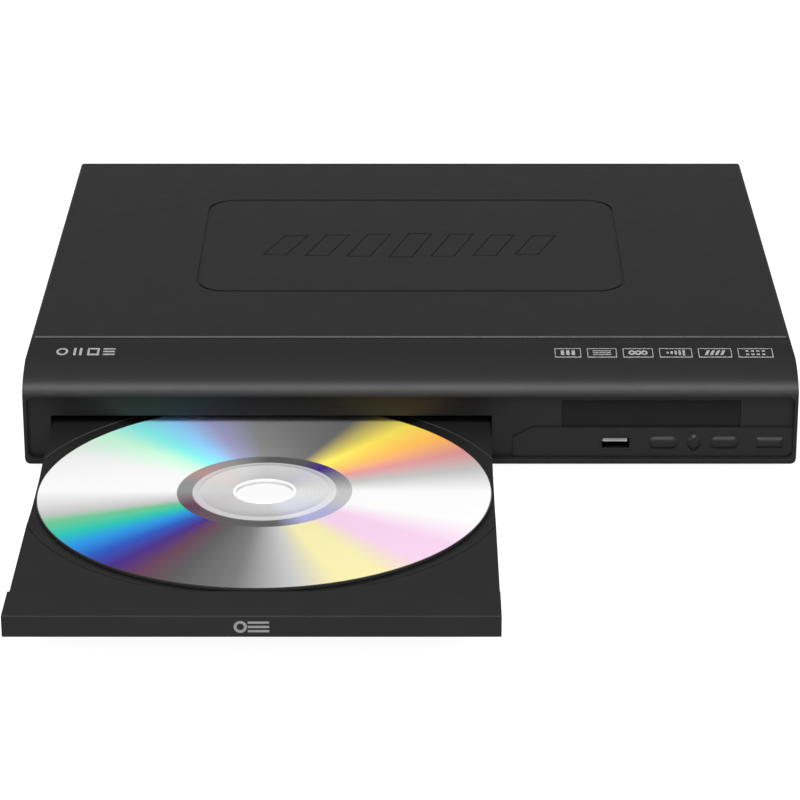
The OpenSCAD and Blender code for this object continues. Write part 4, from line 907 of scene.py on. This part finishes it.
RIBBON = Striped(
    "flat_cable", grey(0.72), 0.3, pitch=0.5 * MM, contrast=0.35, relief=0.03 * MM
)
WIRE = Finish("wire_cover", (0.42, 0.02, 0.015), 0.4, relief=0.004 * MM, mottle=0.12)
LENS = Finish("coated_lens", (0.10, 0.16, 0.42), 0.05, specular=0.8, coat=1.0, relief=0.0002 * MM)
DIE_CAST = Finish("die_cast", grey(0.22), 0.45, metallic=1.0, grain=0.3 * MM, mottle=0.15)
THREAD = Striped(
    "screw_thread", grey(0.6), 0.25, metallic=1.0, axis=1, pitch=1.0 * MM, contrast=0.3
)


# ---- the player


@dataclass
class SubAssembly:
    """Pieces that are dressed together.

    Attributes:
    """

    frame: dict[str, Any]

    def dress(self, finish: Finish, *names: str, edge: float = 0.0) -> None:
        """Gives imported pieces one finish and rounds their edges.

        Args:
            finish: The finish.
            names: The nodes' names.
            edge: Width of the rounding in millimetres, none where zero.
        """
        for name in names:
            piece = self.frame["nodes"][name]
            if not piece.material_slots:
                piece.data.materials.append(finish.material())
            for slot in piece.material_slots:
                slot.material = finish.material()
            if edge:
                soften(piece, edge * MM)
            LOG.info("dressed %s in %s", name, finish.name)

    def add(self, piece: bpy.types.Object, body: str, slot: str, *nodes: str) -> None:
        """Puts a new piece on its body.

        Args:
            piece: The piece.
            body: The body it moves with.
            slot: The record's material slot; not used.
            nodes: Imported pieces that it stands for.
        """
        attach(piece, body)
        if nodes:
            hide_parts(*nodes)
        LOG.info("built %s on %s", piece.name, body)


@dataclass
class CaseShell(SubAssembly):
    """Cover, pan, rear panel, feet and their screws, with the pressed bars on the lid, painted
    shade round the bars and a painted highlight on the front hem.
    """

    foot_r: float = 6.5 * MM
    foot_h: float = 3.0 * MM
    peg_r: float = 2.0 * MM
    peg_edge: float = 0.3 * MM
    axis_r: float = 0.01 * MM
    sole: tuple[Point, ...] = ((0.5, 0.5), (0.7, 0.15), (1.1, 0), (2.6, 0), (3.1, 0.3), (3.4, 0.8))
    bar_count: int = 7
    bar_h: float = 21 * MM
    bar_taper: float = 0.07
    bar_w: float = 6.4 * MM
    bar_pitch: float = 12.6 * MM
    bar_lean: float = 6 * MM
    bar_cell: float = 4 * MM
    bar_sink: float = 0.02 * MM
    press: float = 0.36 * MM
    # Width and thickness of the painted shade strips round the bars.
    shade_w: float = 0.45 * MM
    painted_shade_h: float = 0.02 * MM
    hem_w: float = 0.9 * MM
    hem_h: float = 0.32 * MM
    hem_end: float = 1.2 * MM
    hem_steps: int = 8
    seam_gap: float = 0.3 * MM
    panel_mid: float = 103.5 * MM

    def build(self) -> None:
        """Dresses the shell and presses the bars."""
        self.dress(COVER_PAINT, "top_cover", edge=0.5)
        self.dress(ZINC, "base_pan", "board_posts", "rear_panel")
        self.dress(DARK, "cover_screws")
        self._turn_feet()
        self._press_bars()
        self._fold_hem()

    def _fold_hem(self) -> None:
        """The rounded hem along the cover's front edge, where it meets the bezel, in paint lighter
        than the cover as a painted highlight.
        """
        low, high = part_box("top_cover")
        turns = [math.pi * step / self.hem_steps for step in range(self.hem_steps + 1)]
        half = self.hem_w / 2
        section = [(-half * math.cos(turn), self.hem_h * math.sin(turn)) for turn in turns]
        section += [(half, -self.hem_h), (-half, -self.hem_h)]
        middle = low.y + half - self.seam_gap
        ends = (low.x + self.hem_end, high.x - self.hem_end)
        mesh = bmesh.new()
        loft(mesh, [[Vector((x, middle + y, high.z + z)) for y, z in section] for x in ends])
        self.add(finished("cover_front_hem", mesh, HEM_HIGHLIGHT_PAINT), "player", "cover_black")

    def _turn_feet(self) -> None:
        """Four feet with rounded edges, a hollow underneath and a peg through the pan."""
        low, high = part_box("rubber_feet")
        rim, peg = self.foot_r, self.peg_r
        profile = [
            (self.axis_r, high.z),
            (peg * 0.8, high.z),
            (peg, high.z - self.peg_edge),
            (peg, self.foot_h),
            (rim, self.foot_h),
            *((rim - inset * MM, rise * MM) for inset, rise in self.sole),
            (self.axis_r, self.sole[-1][1] * MM),
        ]
        mesh = bmesh.new()
        for x in (low.x + rim, high.x - rim):
            for y in (low.y + rim, high.y - rim):
                lathe(mesh, profile, Vector((x, y, 0)), 48)
        feet = finished("moulded_feet", mesh, RUBBER)
        self.add(feet, "player", "rubber_black", "rubber_feet")

    def _bars(self) -> list[Point]:
        """Each pressed bar's middle across, and its length."""
        steps = [i - (self.bar_count - 1) / 2 for i in range(self.bar_count)]
        return [(s * self.bar_pitch, self.bar_h * (1 - self.bar_taper * abs(s))) for s in steps]

    def _press_bars(self) -> None:
        """Slanted bars pressed up from the lid, inside its groove."""
        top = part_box("top_cover")[1].z
        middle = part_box("front_bezel")[0].y + self.panel_mid
        inlay = Inlay(cell=self.bar_cell)
        for x, length in self._bars():
            inlay.bar(x, middle, self.bar_w, length, self.bar_lean)
        foot = top - self.bar_sink
        bars = inlay.build(
            "lid_pressed_bars", lambda x, y: Vector((x, y, foot)), self.press, PRESSED
        )
        bevel = bars.modifiers.new("round", "BEVEL")
        bevel.width = self.press * 0.8
        bevel.segments = 2
        self.add(bars, "player", "cover_black")
        self._shade_bars(top, middle)

    def _shade_bars(self, top: float, middle: float) -> None:
        """Painted shade round each pressed bar: dark strips laid on the lid where a groove's shadow
        would fall.

        Args:
            top: Height of the lid.
            middle: Middle of the bars, front to back.
        """
        inlay = Inlay(cell=self.bar_cell)
        for x, length in self._bars():
            height = length + self.shade_w
            for side in (-1, 1):
                edge = x + side * (self.bar_w + self.shade_w) / 2
                inlay.bar(edge, middle, self.shade_w, height, self.bar_lean)
                end, width = x + side * self.bar_lean / 2, self.bar_w + 2 * self.shade_w
                inlay.bar(end, middle + side * height / 2, width, self.shade_w)
        lift = self.painted_shade_h / 2
        shade_strips = inlay.build(
            "lid_bar_painted_shade", lambda x, y: Vector((x, y, top + lift)), self.painted_shade_h, PAINTED_SHADE
        )
        self.add(shade_strips, "player", "cover_black")


PILLOW_MM = ((0.0, 0.05), (0.22, 0.22), (0.46, 0.38), (0.74, 0.5), (1.05, 0.57), (1.35, 0.6))


@dataclass(frozen=True)
class CapShape:
    """Outline of a button cap and how it swells.

    Attributes:
        corners: Sharp corners about the cap's middle, counter-clockwise.
        radius: Radius of its corners.
        grow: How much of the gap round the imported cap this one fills.
        reach: How far inwards the crown runs, as a share of the pillow.
        proud: How far its middle stands out.
        wall: From the pad's face to the flange.
        flange: Thickness of the flange.
        stem_r: Radius of the stem behind.
        pillow: Inset and height of each ring of the crown.
    """

    corners: tuple[Point, ...]
    radius: float
    grow: float = 0.19 * MM
    reach: float = 1.0
    proud: float = 0.6 * MM
    wall: float = 2.85 * MM
    flange: float = 1.0 * MM
    stem_r: float = 1.1 * MM
    pillow: tuple[Point, ...] = tuple((inset * MM, rise * MM) for inset, rise in PILLOW_MM)


def box_corners(w: float, h: float, cut: float = 0.0) -> tuple[Point, ...]:
    """Corners of a box in millimetres, cut off where cut is over zero."""
    x, z = w / 2 * MM, h / 2 * MM
    if not cut:
        return ((-x, -z), (x, -z), (x, z), (-x, z))
    c = cut * MM
    right = ((-x + c, -z), (x - c, -z), (x, -z + c), (x, z - c))
    left = ((x - c, z), (-x + c, z), (-x, z - c), (-x, -z + c))
    return right + left


CAPS = {
    "open_button": CapShape(box_corners(8, 3.4), 1.6 * MM),
    "play_button": CapShape(box_corners(3.6, 4.4, 1.3), 0.3 * MM, reach=0.7),
    "stop_button": CapShape(box_corners(8, 3.4), 1.6 * MM),
    "power_button": CapShape(box_corners(7.5, 3), 0.4 * MM),
}


@dataclass
class FrontPanel(SubAssembly):
    """Bezel, window, controls, port and the marks printed on the brow."""

    brow_depth: float = 20.5 * MM
    brow_drop: float = 8 * MM
    badge_widths: tuple[float, ...] = (7.3, 8.2, 8.4, 9.1, 9.3, 9.7)
    badge_left: float = 40.2 * MM
    badge_gap: float = 1.75 * MM
    badge_h: float = 5.4 * MM
    badge_mid: float = 14.6 * MM
    badge_room: float = 0.62
    mark_w: float = 3.3 * MM
    mark_h: float = 4.4 * MM
    mark_mid: float = 15.3 * MM
    mark_left: float = -97.1 * MM
    mark_pitch: float = 4.35 * MM
    line: Point = (0.22 * MM, 0.42 * MM)
    ink: float = 0.05 * MM
    ink_lift: float = 0.01 * MM
    port_rim: float = 0.25 * MM

    def build(self) -> None:
        """Dresses the front and prints the marks."""
        self.dress(BEZEL_ABS, "front_bezel", edge=0.12)
        self.dress(SMOKED, "display_window", "remote_receiver", edge=0.15)
        self.dress(DARK, "display_module")
        self.dress(BARS, "display_segments")
        self.dress(GREEN_BOARD, "front_board")
        self.dress(CHIP, "tact_switches")
        self.dress(self._port_painted_shade(), "data_port")
        self.dress(TONGUE, "data_port_tongue")
        for name, shape in CAPS.items():
            self._mould_cap(name, shape)
        self._print_badges()
        self._print_name_marks()

    def _port_painted_shade(self) -> Finish:
        """Bezel colour on the port's rim, painted shade of near black inside."""
        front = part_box("data_port")[0].y
        # Painted shade: past the rim the throat is near black.
        bands = ((front, BEZEL_ABS.colour), (front + self.port_rim, grey(0.004)))
        return Layered(
            "port_throat_painted_shade", grey(0.01), 0.5, axis=1, bands=bands, specular=0.02, mottle=0.0
        )

    def _mould_cap(self, name: str, shape: CapShape) -> None:
        """A pillowed cap on a flange and a stem.

        Args:
            name: The button's node and body.
            shape: The cap's outline.
        """
        low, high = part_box(name)
        centre = (low + high) / 2
        pad = low.y + shape.proud

        def ring(inset: float, behind: float) -> list[Vector]:
            """The cap's outline, set in from its edge and behind the pad's face."""
            outline = round_corners(shape.corners, shape.radius, inset)
            return [Vector((centre.x + x, pad + behind, centre.z + z)) for x, z in outline]

        mesh = bmesh.new()
        grow = -shape.grow
        crown = [ring(inset * shape.reach, -proud) for inset, proud in shape.pillow]
        loft(mesh, [ring(grow, shape.wall), ring(grow, 0), *crown])
        flange = [(low.x, low.z), (high.x, low.z), (high.x, high.z), (low.x, high.z)]
        back = pad + shape.wall
        loft(mesh, [[Vector((x, y, z)) for x, z in flange] for y in (back, back + shape.flange)])
        turns = [2 * math.pi * step / 20 for step in range(20)]
        stem = [(shape.stem_r * math.cos(turn), shape.stem_r * math.sin(turn)) for turn in turns]
        ends = (back + shape.flange, high.y)
        loft(mesh, [[Vector((centre.x + x, y, centre.z + z)) for x, z in stem] for y in ends])
        cap = finished(name.replace("button", "cap"), mesh, CAP_ABS, 50.0)
        self.add(cap, name, "button_black", name)

    def _on_brow(self, x: float, y: float) -> Vector:
        """The brow's surface at a place across and behind the front plane."""
        low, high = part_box("front_bezel")
        share = (self.brow_depth - y) / self.brow_depth
        rise = self.brow_drop * math.sqrt(max(0.0, 1 - share * share))
        return Vector((x, low.y + y, high.z - self.brow_drop + rise + self.ink_lift))

    def _print_badges(self) -> None:
        """Six outlined boxes, each with a plain pattern of its own."""
        inlay = Inlay()
        left = self.badge_left
        for number, width in enumerate(w * MM for w in self.badge_widths):
            x = left + width / 2
            inlay.frame(x, self.badge_mid, width, self.badge_h, self.line)
            self._fill_badge(inlay, number, x, width)
            left += width + self.badge_gap
        badges = inlay.build("brow_badges", self._on_brow, self.ink, INK)
        self.add(badges, "player", "segment_grey")

    def _fill_badge(self, inlay: Inlay, number: int, x: float, width: float) -> None:
        """Fills one box.

        Args:
            inlay: Where the shapes go.
            number: Which box, from the left.
            x: The box's middle.
            width: The box's width.
        """
        mid, tall, room = self.badge_mid, self.badge_h, width * self.badge_room
        if number == 0:
            for i in (-1, 0, 1):
                inlay.bar(x + i * room / 3, mid, room / 5, tall * 0.5)
        elif number == 1:
            for i in (-1, 0, 1):
                inlay.bar(x, mid + i * tall * 0.2, room, tall * 0.08)
        elif number == 2:
            for i in (-1, 0, 1):
                inlay.ring(x + i * room / 3, mid, 0.95 * MM, 0.4 * MM, 1.4)
        elif number == 3:
            for i in range(5):
                inlay.bar(x + (i - 2) * room / 5, mid, room / 9, tall * (0.2 + 0.1 * i))
        elif number == 4:
            for i in range(4):
                inlay.bar(x + (i - 1.5) * room / 4, mid, room / 7, tall * 0.5, 0.8 * MM)
        else:
            for row in (-0.5, 0.5):
                for i in range(4):
                    place = (x + (i - 1.5) * room / 4, mid + row * tall * 0.36)
                    inlay.bar(*place, room / 7, tall * 0.16)

    def _print_name_marks(self) -> None:
        """Four plain shapes in the place of a name, at the left of the brow."""
        inlay = Inlay()
        width, height, mid = self.mark_w, self.mark_h, self.mark_mid
        places = [self.mark_left + i * self.mark_pitch for i in range(4)]
        inlay.ring(places[0], mid, width / 2, width * 0.31, 1.3)
        for side in (-1, 1):
            inlay.bar(places[1] + side * width * 0.25, mid, width * 0.22, height)
        inlay.frame(places[2], mid, width, height, (0.6 * MM, 0.9 * MM))
        for side in (-1, 0, 1):
            inlay.bar(places[3], mid + side * height * 0.38, width, 0.8 * MM)
        marks = inlay.build("brow_name_marks", self._on_brow, self.ink, INK)
        self.add(marks, "player", "segment_grey")


@dataclass
class TrayDrawer(SubAssembly):
    """The drawer, its door, painted highlight and painted shadow along the edge of the disc's seat,
    and the mark on the door.
    """

    mark_x: float = -38.5 * MM
    mark_z: float = 14.1 * MM
    mark_ring: Point = (1.6 * MM, 0.9 * MM)
    mark_ring_left: float = 2.7 * MM
    mark_bar: Point = (5.2 * MM, 0.6 * MM)
    mark_bar_right: float = 1.7 * MM
    mark_bar_pitch: float = 1.15 * MM
    ink: float = 0.05 * MM
    ink_lift: float = 0.01 * MM
    rim_h: float = 3.2 * MM
    seat_r: float = 64.3 * MM
    edge_w: float = 0.5 * MM
    edge_sink: float = 0.1 * MM
    edge_steps: int = 24
    highlight_h: float = 0.1 * MM
    highlight_arcs: tuple[Point, ...] = ((20.5, 66), (114, 159.5))
    painted_shade_h: float = 0.02 * MM
    shadow_arcs: tuple[Point, ...] = ((-66, -20.5), (-159.5, -114))

    def build(self) -> None:
        """Dresses the drawer, paints highlight and shadow along the seat and prints the door's
        mark.
        """
        self.dress(TRAY_ABS, "tray", edge=0.15)
        self.dress(DOOR_ABS_LIGHTENED, "tray_front", edge=0.3)
        # Painted highlight on the seat's far edge, painted shadow of its wall on the near side.
        self._trace_seat("tray_seat_painted_highlight", self.highlight_arcs, self.highlight_h, SEAT_HIGHLIGHT_PAINT)
        self._trace_seat("tray_seat_painted_shadow", self.shadow_arcs, self.painted_shade_h, PAINTED_SHADE)
        self._print_mark()

    def _trace_seat(
        self, name: str, arcs: tuple[Point, ...], height: float, finish: Finish
    ) -> None:
        """Low strips along the edge of the disc's seat that carry painted light, lighter for a
        highlight and dark for a shadow.

        Args:
            name: The piece's name.
            arcs: First and last angle of each strip, in degrees.
            height: How far the strips stand up.
            finish: Their finish.
        """
        low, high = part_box("disc")
        centre = (low + high) / 2
        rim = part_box("tray")[0].z + self.rim_h
        foot, crown, sunk = self.edge_w / 2, self.edge_w / 4, -self.edge_sink
        section = ((-foot, sunk), (foot, sunk), (crown, height), (-crown, height))
        mesh = bmesh.new()
        for start, end in arcs:
            rings = []
            for step in range(self.edge_steps + 1):
                turn = math.radians(start + (end - start) * step / self.edge_steps)
                out = Vector((math.cos(turn), math.sin(turn), 0))
                middle = Vector((centre.x, centre.y, rim)) + out * self.seat_r
                rings.append([middle + out * across + Vector((0, 0, up)) for across, up in section])
            loft(mesh, rings)
        self.add(finished(name, mesh, finish), "tray", "tray_black")

    def _print_mark(self) -> None:
        """A ring and three bars on the door."""
        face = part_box("tray_front")[0].y - self.ink_lift
        inlay = Inlay()
        inlay.ring(self.mark_x - self.mark_ring_left, self.mark_z, *self.mark_ring)
        for i in (-1, 0, 1):
            up = self.mark_z + i * self.mark_bar_pitch
            inlay.bar(self.mark_x + self.mark_bar_right, up, *self.mark_bar)
        mark = inlay.build("door_mark", lambda x, z: Vector((x, face, z)), self.ink, INK)
        self.add(mark, "tray", "segment_grey")


@dataclass
class Disc(SubAssembly):
    """The disc: a turned plate with a stacking ring, a clear hub and colour fans of painted
    reflection.
    """

    hole_r: float = 7.5 * MM
    edge: float = 0.25 * MM
    ring_r: float = 17 * MM
    ring_h: float = 0.12 * MM
    turn_steps: int = 192
    # Painted reflection by angle: WHITE fans are painted glare, SLATE, SMOKE and GREY painted
    # shade, the rest painted rainbow and sheen.
    fans: tuple[Fan, ...] = (
        Fan(-180, -165, (Tint.WHITE, Tint.SILVER)),
        Fan(-160, -120, (Tint.GREEN, Tint.TEAL, Tint.AZURE, Tint.BLUE, Tint.VIOLET, Tint.PLUM)),
        Fan(-110, -80, (Tint.SLATE, Tint.SMOKE, Tint.SILVER)),
        Fan(-70, -35, (Tint.CREAM, Tint.CREAM, Tint.PINK, Tint.PINK)),
        Fan(-20, 0, (Tint.WHITE, Tint.WHITE)),
        Fan(15, 50, (Tint.SILVER, Tint.RED, Tint.ORANGE, Tint.YELLOW)),
        Fan(65, 95, (Tint.SMOKE, Tint.GREY)),
        Fan(110, 140, (Tint.LILAC, Tint.SKY, Tint.AQUA, Tint.MINT)),
        Fan(155, 180, (Tint.WHITE, Tint.WHITE)),
    )
    band_fans: tuple[Fan, ...] = (
        Fan(-180, -155, (Tint.GREY, Tint.PLUM)),
        Fan(-110, -80, (Tint.SLATE, Tint.SLATE)),
        Fan(-60, -40, (Tint.LILAC, Tint.LILAC)),
        Fan(-15, 0, (Tint.SILVER, Tint.SILVER)),
        Fan(20, 45, (Tint.GREY, Tint.VIOLET)),
        Fan(65, 90, (Tint.SLATE, Tint.SLATE)),
        Fan(115, 145, (Tint.GREY, Tint.ROSE)),
        Fan(165, 180, (Tint.GREY, Tint.GREY)),
    )

    def build(self) -> None:
        """Turns the disc and dresses it."""
        low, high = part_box("disc")
        centre = (low + high) / 2
        profile = self._profile((high.x - low.x) / 2, high.z - low.z)
        foil = DiscFoil(
            "disc_foil_painted_reflection",
            grey(0.5),
            0.28,
            metallic=0.25,
            specular=0.04,
            relief=0.0004 * MM,
            centre=(centre.x, centre.y),
            fans=self.fans,
            band_fans=self.band_fans,
        )
        mesh = bmesh.new()
        lathe(mesh, profile, Vector((centre.x, centre.y, low.z)), self.turn_steps)
        disc = finished("mirrored_disc", mesh, foil, 25.0)
        self.add(disc, "disc", "disc_face", "disc")

    def _profile(self, outer: float, thick: float) -> list[Point]:
        """Section of the plate, from the hole's lower edge round to the start."""
        hole, edge, ring, rise = self.hole_r, self.edge, self.ring_r, self.ring_h
        top = [
            (hole, edge),
            (hole, thick - edge),
            (hole + edge * 0.3, thick - edge * 0.3),
            (hole + edge, thick - rise),
            (ring - 0.5 * MM, thick - rise),
            (ring - 0.2 * MM, thick),
            (ring + 0.2 * MM, thick),
            (ring + 0.5 * MM, thick - rise),
            (19 * MM, thick - rise),
            (19.2 * MM, thick - rise * 0.8),
            (outer - edge, thick - rise * 0.8),
            (outer - edge * 0.3, thick - edge * 0.8),
            (outer, thick - edge * 1.6),
        ]
        rim = [(outer, edge), (outer - edge * 0.3, edge * 0.3), (outer - edge, 0)]
        return [*top, *rim, (hole + edge, 0)]


@dataclass
class Mechanism(SubAssembly):
    """Loader, tray drive, clamp and sled."""

    def build(self) -> None:
        """Dresses the moving works."""
        self.dress(GLASS_FILLED, "loader_frame", "sled_deck")
        self.dress(ZINC, "clamper_bridge")
        self.dress(ACETAL, "clamp_puck", "cam_slider")
        self.dress(ACETAL, "drive_pinion", "pulley_gear", "motor_pulley")
        self.dress(NICKEL, "puck_magnet")
        self.dress(RUBBER, "drive_belt", "turntable_mat")
        self.dress(CHIP, "limit_switch")
        self.dress(STEEL, "loading_motor", edge=0.3)
        self.dress(STEEL, "spindle_motor", "sled_motor", edge=0.2)
        self.dress(STEEL, "guide_rods", edge=0.1)
        self.dress(DARK, "turntable", edge=0.15)
        self.dress(DIE_CAST, "optical_pickup")
        self.dress(LENS, "pickup_lens")
        self.dress(THREAD, "lead_screw")


@dataclass
class Electronics(SubAssembly):
    """Boards, their parts and the cables between them."""

    can_top: float = 0.35 * MM
    core_low: float = 3.2 * MM
    core_high: float = 3.4 * MM

    def build(self) -> None:
        """Dresses boards, cans, wound parts and cables."""
        self.dress(GREEN_BOARD, "main_board")
        self.dress(TAN_BOARD, "power_board")
        self.dress(CHIP, "decoder_chip")
        self.dress(FINS, "chip_heatsink", "power_heatsink")
        self.dress(self._cans("small_cans", "board_capacitors"), "board_capacitors", edge=0.15)
        self.dress(self._cans("large_cans", "filter_capacitors"), "filter_capacitors", edge=0.2)
        self.dress(self._wound_core(), "transformer", edge=0.2)
        self.dress(RIBBON, "ribbon_cable")
        self.dress(WIRE, "wire_harness")
        self.dress(ZINC, "inner_screws")

    def _cans(self, name: str, node: str) -> Finish:
        """Dark sleeves under bare aluminium tops."""
        low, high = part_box(node)
        top = high.z - self.can_top
        bands = ((low.z, (0.012, 0.02, 0.07)), (top, grey(0.6)))
        return Layered(name, grey(0.5), 0.3, bands=bands, shiny_from=top, relief=0.004 * MM)

    def _wound_core(self) -> Finish:
        """Dark core below and above, yellow tape between."""
        low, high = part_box("transformer")
        bands = (
            (low.z, grey(0.02)),
            (low.z + self.core_low, (0.62, 0.40, 0.05)),
            (high.z - self.core_high, grey(0.05)),
        )
        return Layered("wound_core", grey(0.5), 0.4, bands=bands, relief=0.01 * MM)


@dataclass
class RearSockets(SubAssembly):
    """Jacks, video port and mains inlet."""

    insert_w: float = 5.9 * MM

    def build(self) -> None:
        """Dresses the sockets, each jack in its own colour."""
        low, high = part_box("jack_inserts")
        step = (high.x - low.x - self.insert_w) / 3
        colours = ((0.55, 0.16, 0.01), (0.72, 0.50, 0.02), grey(0.75), (0.50, 0.015, 0.012))
        bands = tuple((low.x - MM + i * step, colour) for i, colour in enumerate(colours))
        inserts = Layered("jack_colours", grey(0.5), 0.35, axis=0, bands=bands, relief=0.003 * MM)
        self.dress(GREEN_BOARD, "jack_board")
        self.dress(DARK, "jack_housing", edge=0.2)
        self.dress(DARK, "mains_inlet", edge=0.25)
        self.dress(GOLD, "jack_sleeves", edge=0.15)
        self.dress(inserts, "jack_inserts")
        self.dress(STEEL, "video_port", edge=0.1)
        self.dress(STEEL, "inlet_pins", edge=0.15)


# ---- studio


@dataclass
class View:
    """The camera, straight at the front from above."""

    lens: float = 151.42
    shift_x: float = -0.01313
    pitch_deg: float = 22.095
    place: tuple[float, float, float] = (0.0, -0.89175, 0.3713)
    clip_start: float = 0.02

    def build(self) -> None:
        """Adds the camera and makes it the scene's."""
        data = bpy.data.cameras.new("view")
        data.lens = self.lens
        data.shift_x = self.shift_x
        data.clip_start = self.clip_start
        camera = bpy.data.objects.new("view", data)
        camera.location = self.place
        camera.rotation_euler = (math.radians(90 - self.pitch_deg), 0, 0)
        bpy.context.scene.collection.objects.link(camera)
        bpy.context.scene.camera = camera


@dataclass
class Studio:
    """A white room with a high and a low long lamp before the front, and two weak fills.

    Attributes:
        ambient: Share of the room's white that lights the object.
        floor_half: Half the floor's side in metres.
        floor_level: Grey level of the floor's paper.
        floor_glow: How white the camera sees the floor.
        floor_mirror: Share of that glow in reflections.
        reach: From the object to the two front lamps, in metres.
        fill_place: The right fill; the left one mirrors it.
    """

    ambient: float = 0.2
    floor_half: float = 6.0
    floor_level: float = 0.3
    floor_glow: float = 0.95
    floor_mirror: float = 0.5
    reach: float = 0.75
    key_power: float = 8.2
    key_size: Point = (0.9, 0.4)
    key_rise_deg: float = 60.0
    brow_power: float = 1.5
    brow_size: Point = (0.9, 0.1)
    brow_rise_deg: float = 28.0
    fill_power: float = 0.9
    fill_size: Point = (0.7, 0.7)
    fill_place: tuple[float, float, float] = (1.1, -0.2, 0.75)

    def build(self) -> None:
        """Sets the room, the floor and the lamps."""
        scene = bpy.context.scene
        scene.view_settings.view_transform = "Standard"
        self._room(scene)
        self._floor()
        front = (
            ("key", self.key_rise_deg, self.key_power, self.key_size),
            ("brow", self.brow_rise_deg, self.brow_power, self.brow_size),
        )
        for name, rise_deg, power, size in front:
            rise = math.radians(rise_deg)
            place = Vector((0, -math.cos(rise), math.sin(rise))) * self.reach
            self._lamp(name, place, power, size)
        for side in (-1, 1):
            place = Vector((side * self.fill_place[0], *self.fill_place[1:]))
            self._lamp(f"fill_{side}", place, self.fill_power, self.fill_size)

    @staticmethod
    def _seen(graph: Graph, mirrored: float = 1.0) -> Value:
        """How much of the room a ray shows: all to the camera, none where it lights the object.

        Args:
            graph: Where the nodes go.
            mirrored: Share that reflections show.

        Returns:
            The share, from 0 to 1.
        """
        path = graph.node("ShaderNodeLightPath").outputs
        shown = Value(graph, path["Is Camera Ray"]) + Value(graph, path["Is Glossy Ray"]) * mirrored
        return (shown + Value(graph, path["Is Transmission Ray"])).maths("MINIMUM", 1.0)

    def _room(self, scene: bpy.types.Scene) -> None:
        """A world that looks white and lights softly."""
        scene.world = bpy.data.worlds.new("room")
        graph = Graph(scene.world)
        strength = self._seen(graph) * (1 - self.ambient) + self.ambient
        back = graph.node("ShaderNodeBackground", None, {0: opaque(grey(1.0)), 1: strength})
        graph.node("ShaderNodeOutputWorld", None, {0: back.outputs[0]})

    def _floor(self) -> None:
        """A pale floor that keeps the shadow."""
        mesh = bmesh.new()
        half = self.floor_half
        corners = ((-half, -half), (half, -half), (half, half), (-half, half))
        mesh.faces.new([mesh.verts.new((x, y, 0)) for x, y in corners])
        data = bpy.data.meshes.new("floor")
        mesh.to_mesh(data)
        mesh.free()
        graph = Graph(bpy.data.materials.new("floor_paper"))
        lit = graph.node("ShaderNodeBsdfDiffuse", None, {0: opaque(grey(self.floor_level))})
        shown = self._seen(graph, self.floor_mirror) * self.floor_glow
        glow = graph.node("ShaderNodeEmission", None, {0: opaque(grey(1.0)), 1: shown})
        both = graph.node("ShaderNodeAddShader", None, {0: lit.outputs[0], 1: glow.outputs[0]})
        graph.node("ShaderNodeOutputMaterial", None, {0: both.outputs[0]})
        data.materials.append(graph.owner)
        floor = bpy.data.objects.new("floor", data)
        bpy.context.scene.collection.objects.link(floor)

    @staticmethod
    def _lamp(name: str, place: Vector, power: float, size: Point) -> None:
        """One rectangular lamp that points at the player."""
        data = bpy.data.lights.new(name, "AREA")
        data.shape = "RECTANGLE"
        data.size, data.size_y = size
        data.energy = power
        lamp = bpy.data.objects.new(name, data)
        lamp.location = place
        lamp.rotation_euler = (-place).to_track_quat("-Z", "Y").to_euler()
        bpy.context.scene.collection.objects.link(lamp)


def main() -> None:
    """Loads the frame, builds each sub-assembly in order and reports it."""
    logging.basicConfig(level=logging.INFO, format="%(name)s: %(message)s")
    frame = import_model()
    View().build()
    for assembly in (CaseShell, FrontPanel, TrayDrawer, Disc, Mechanism, Electronics, RearSockets):
        assembly(frame).build()
        LOG.info("finished %s", assembly.__name__)
    Studio().build()


if __name__ == "__main__":
    main()
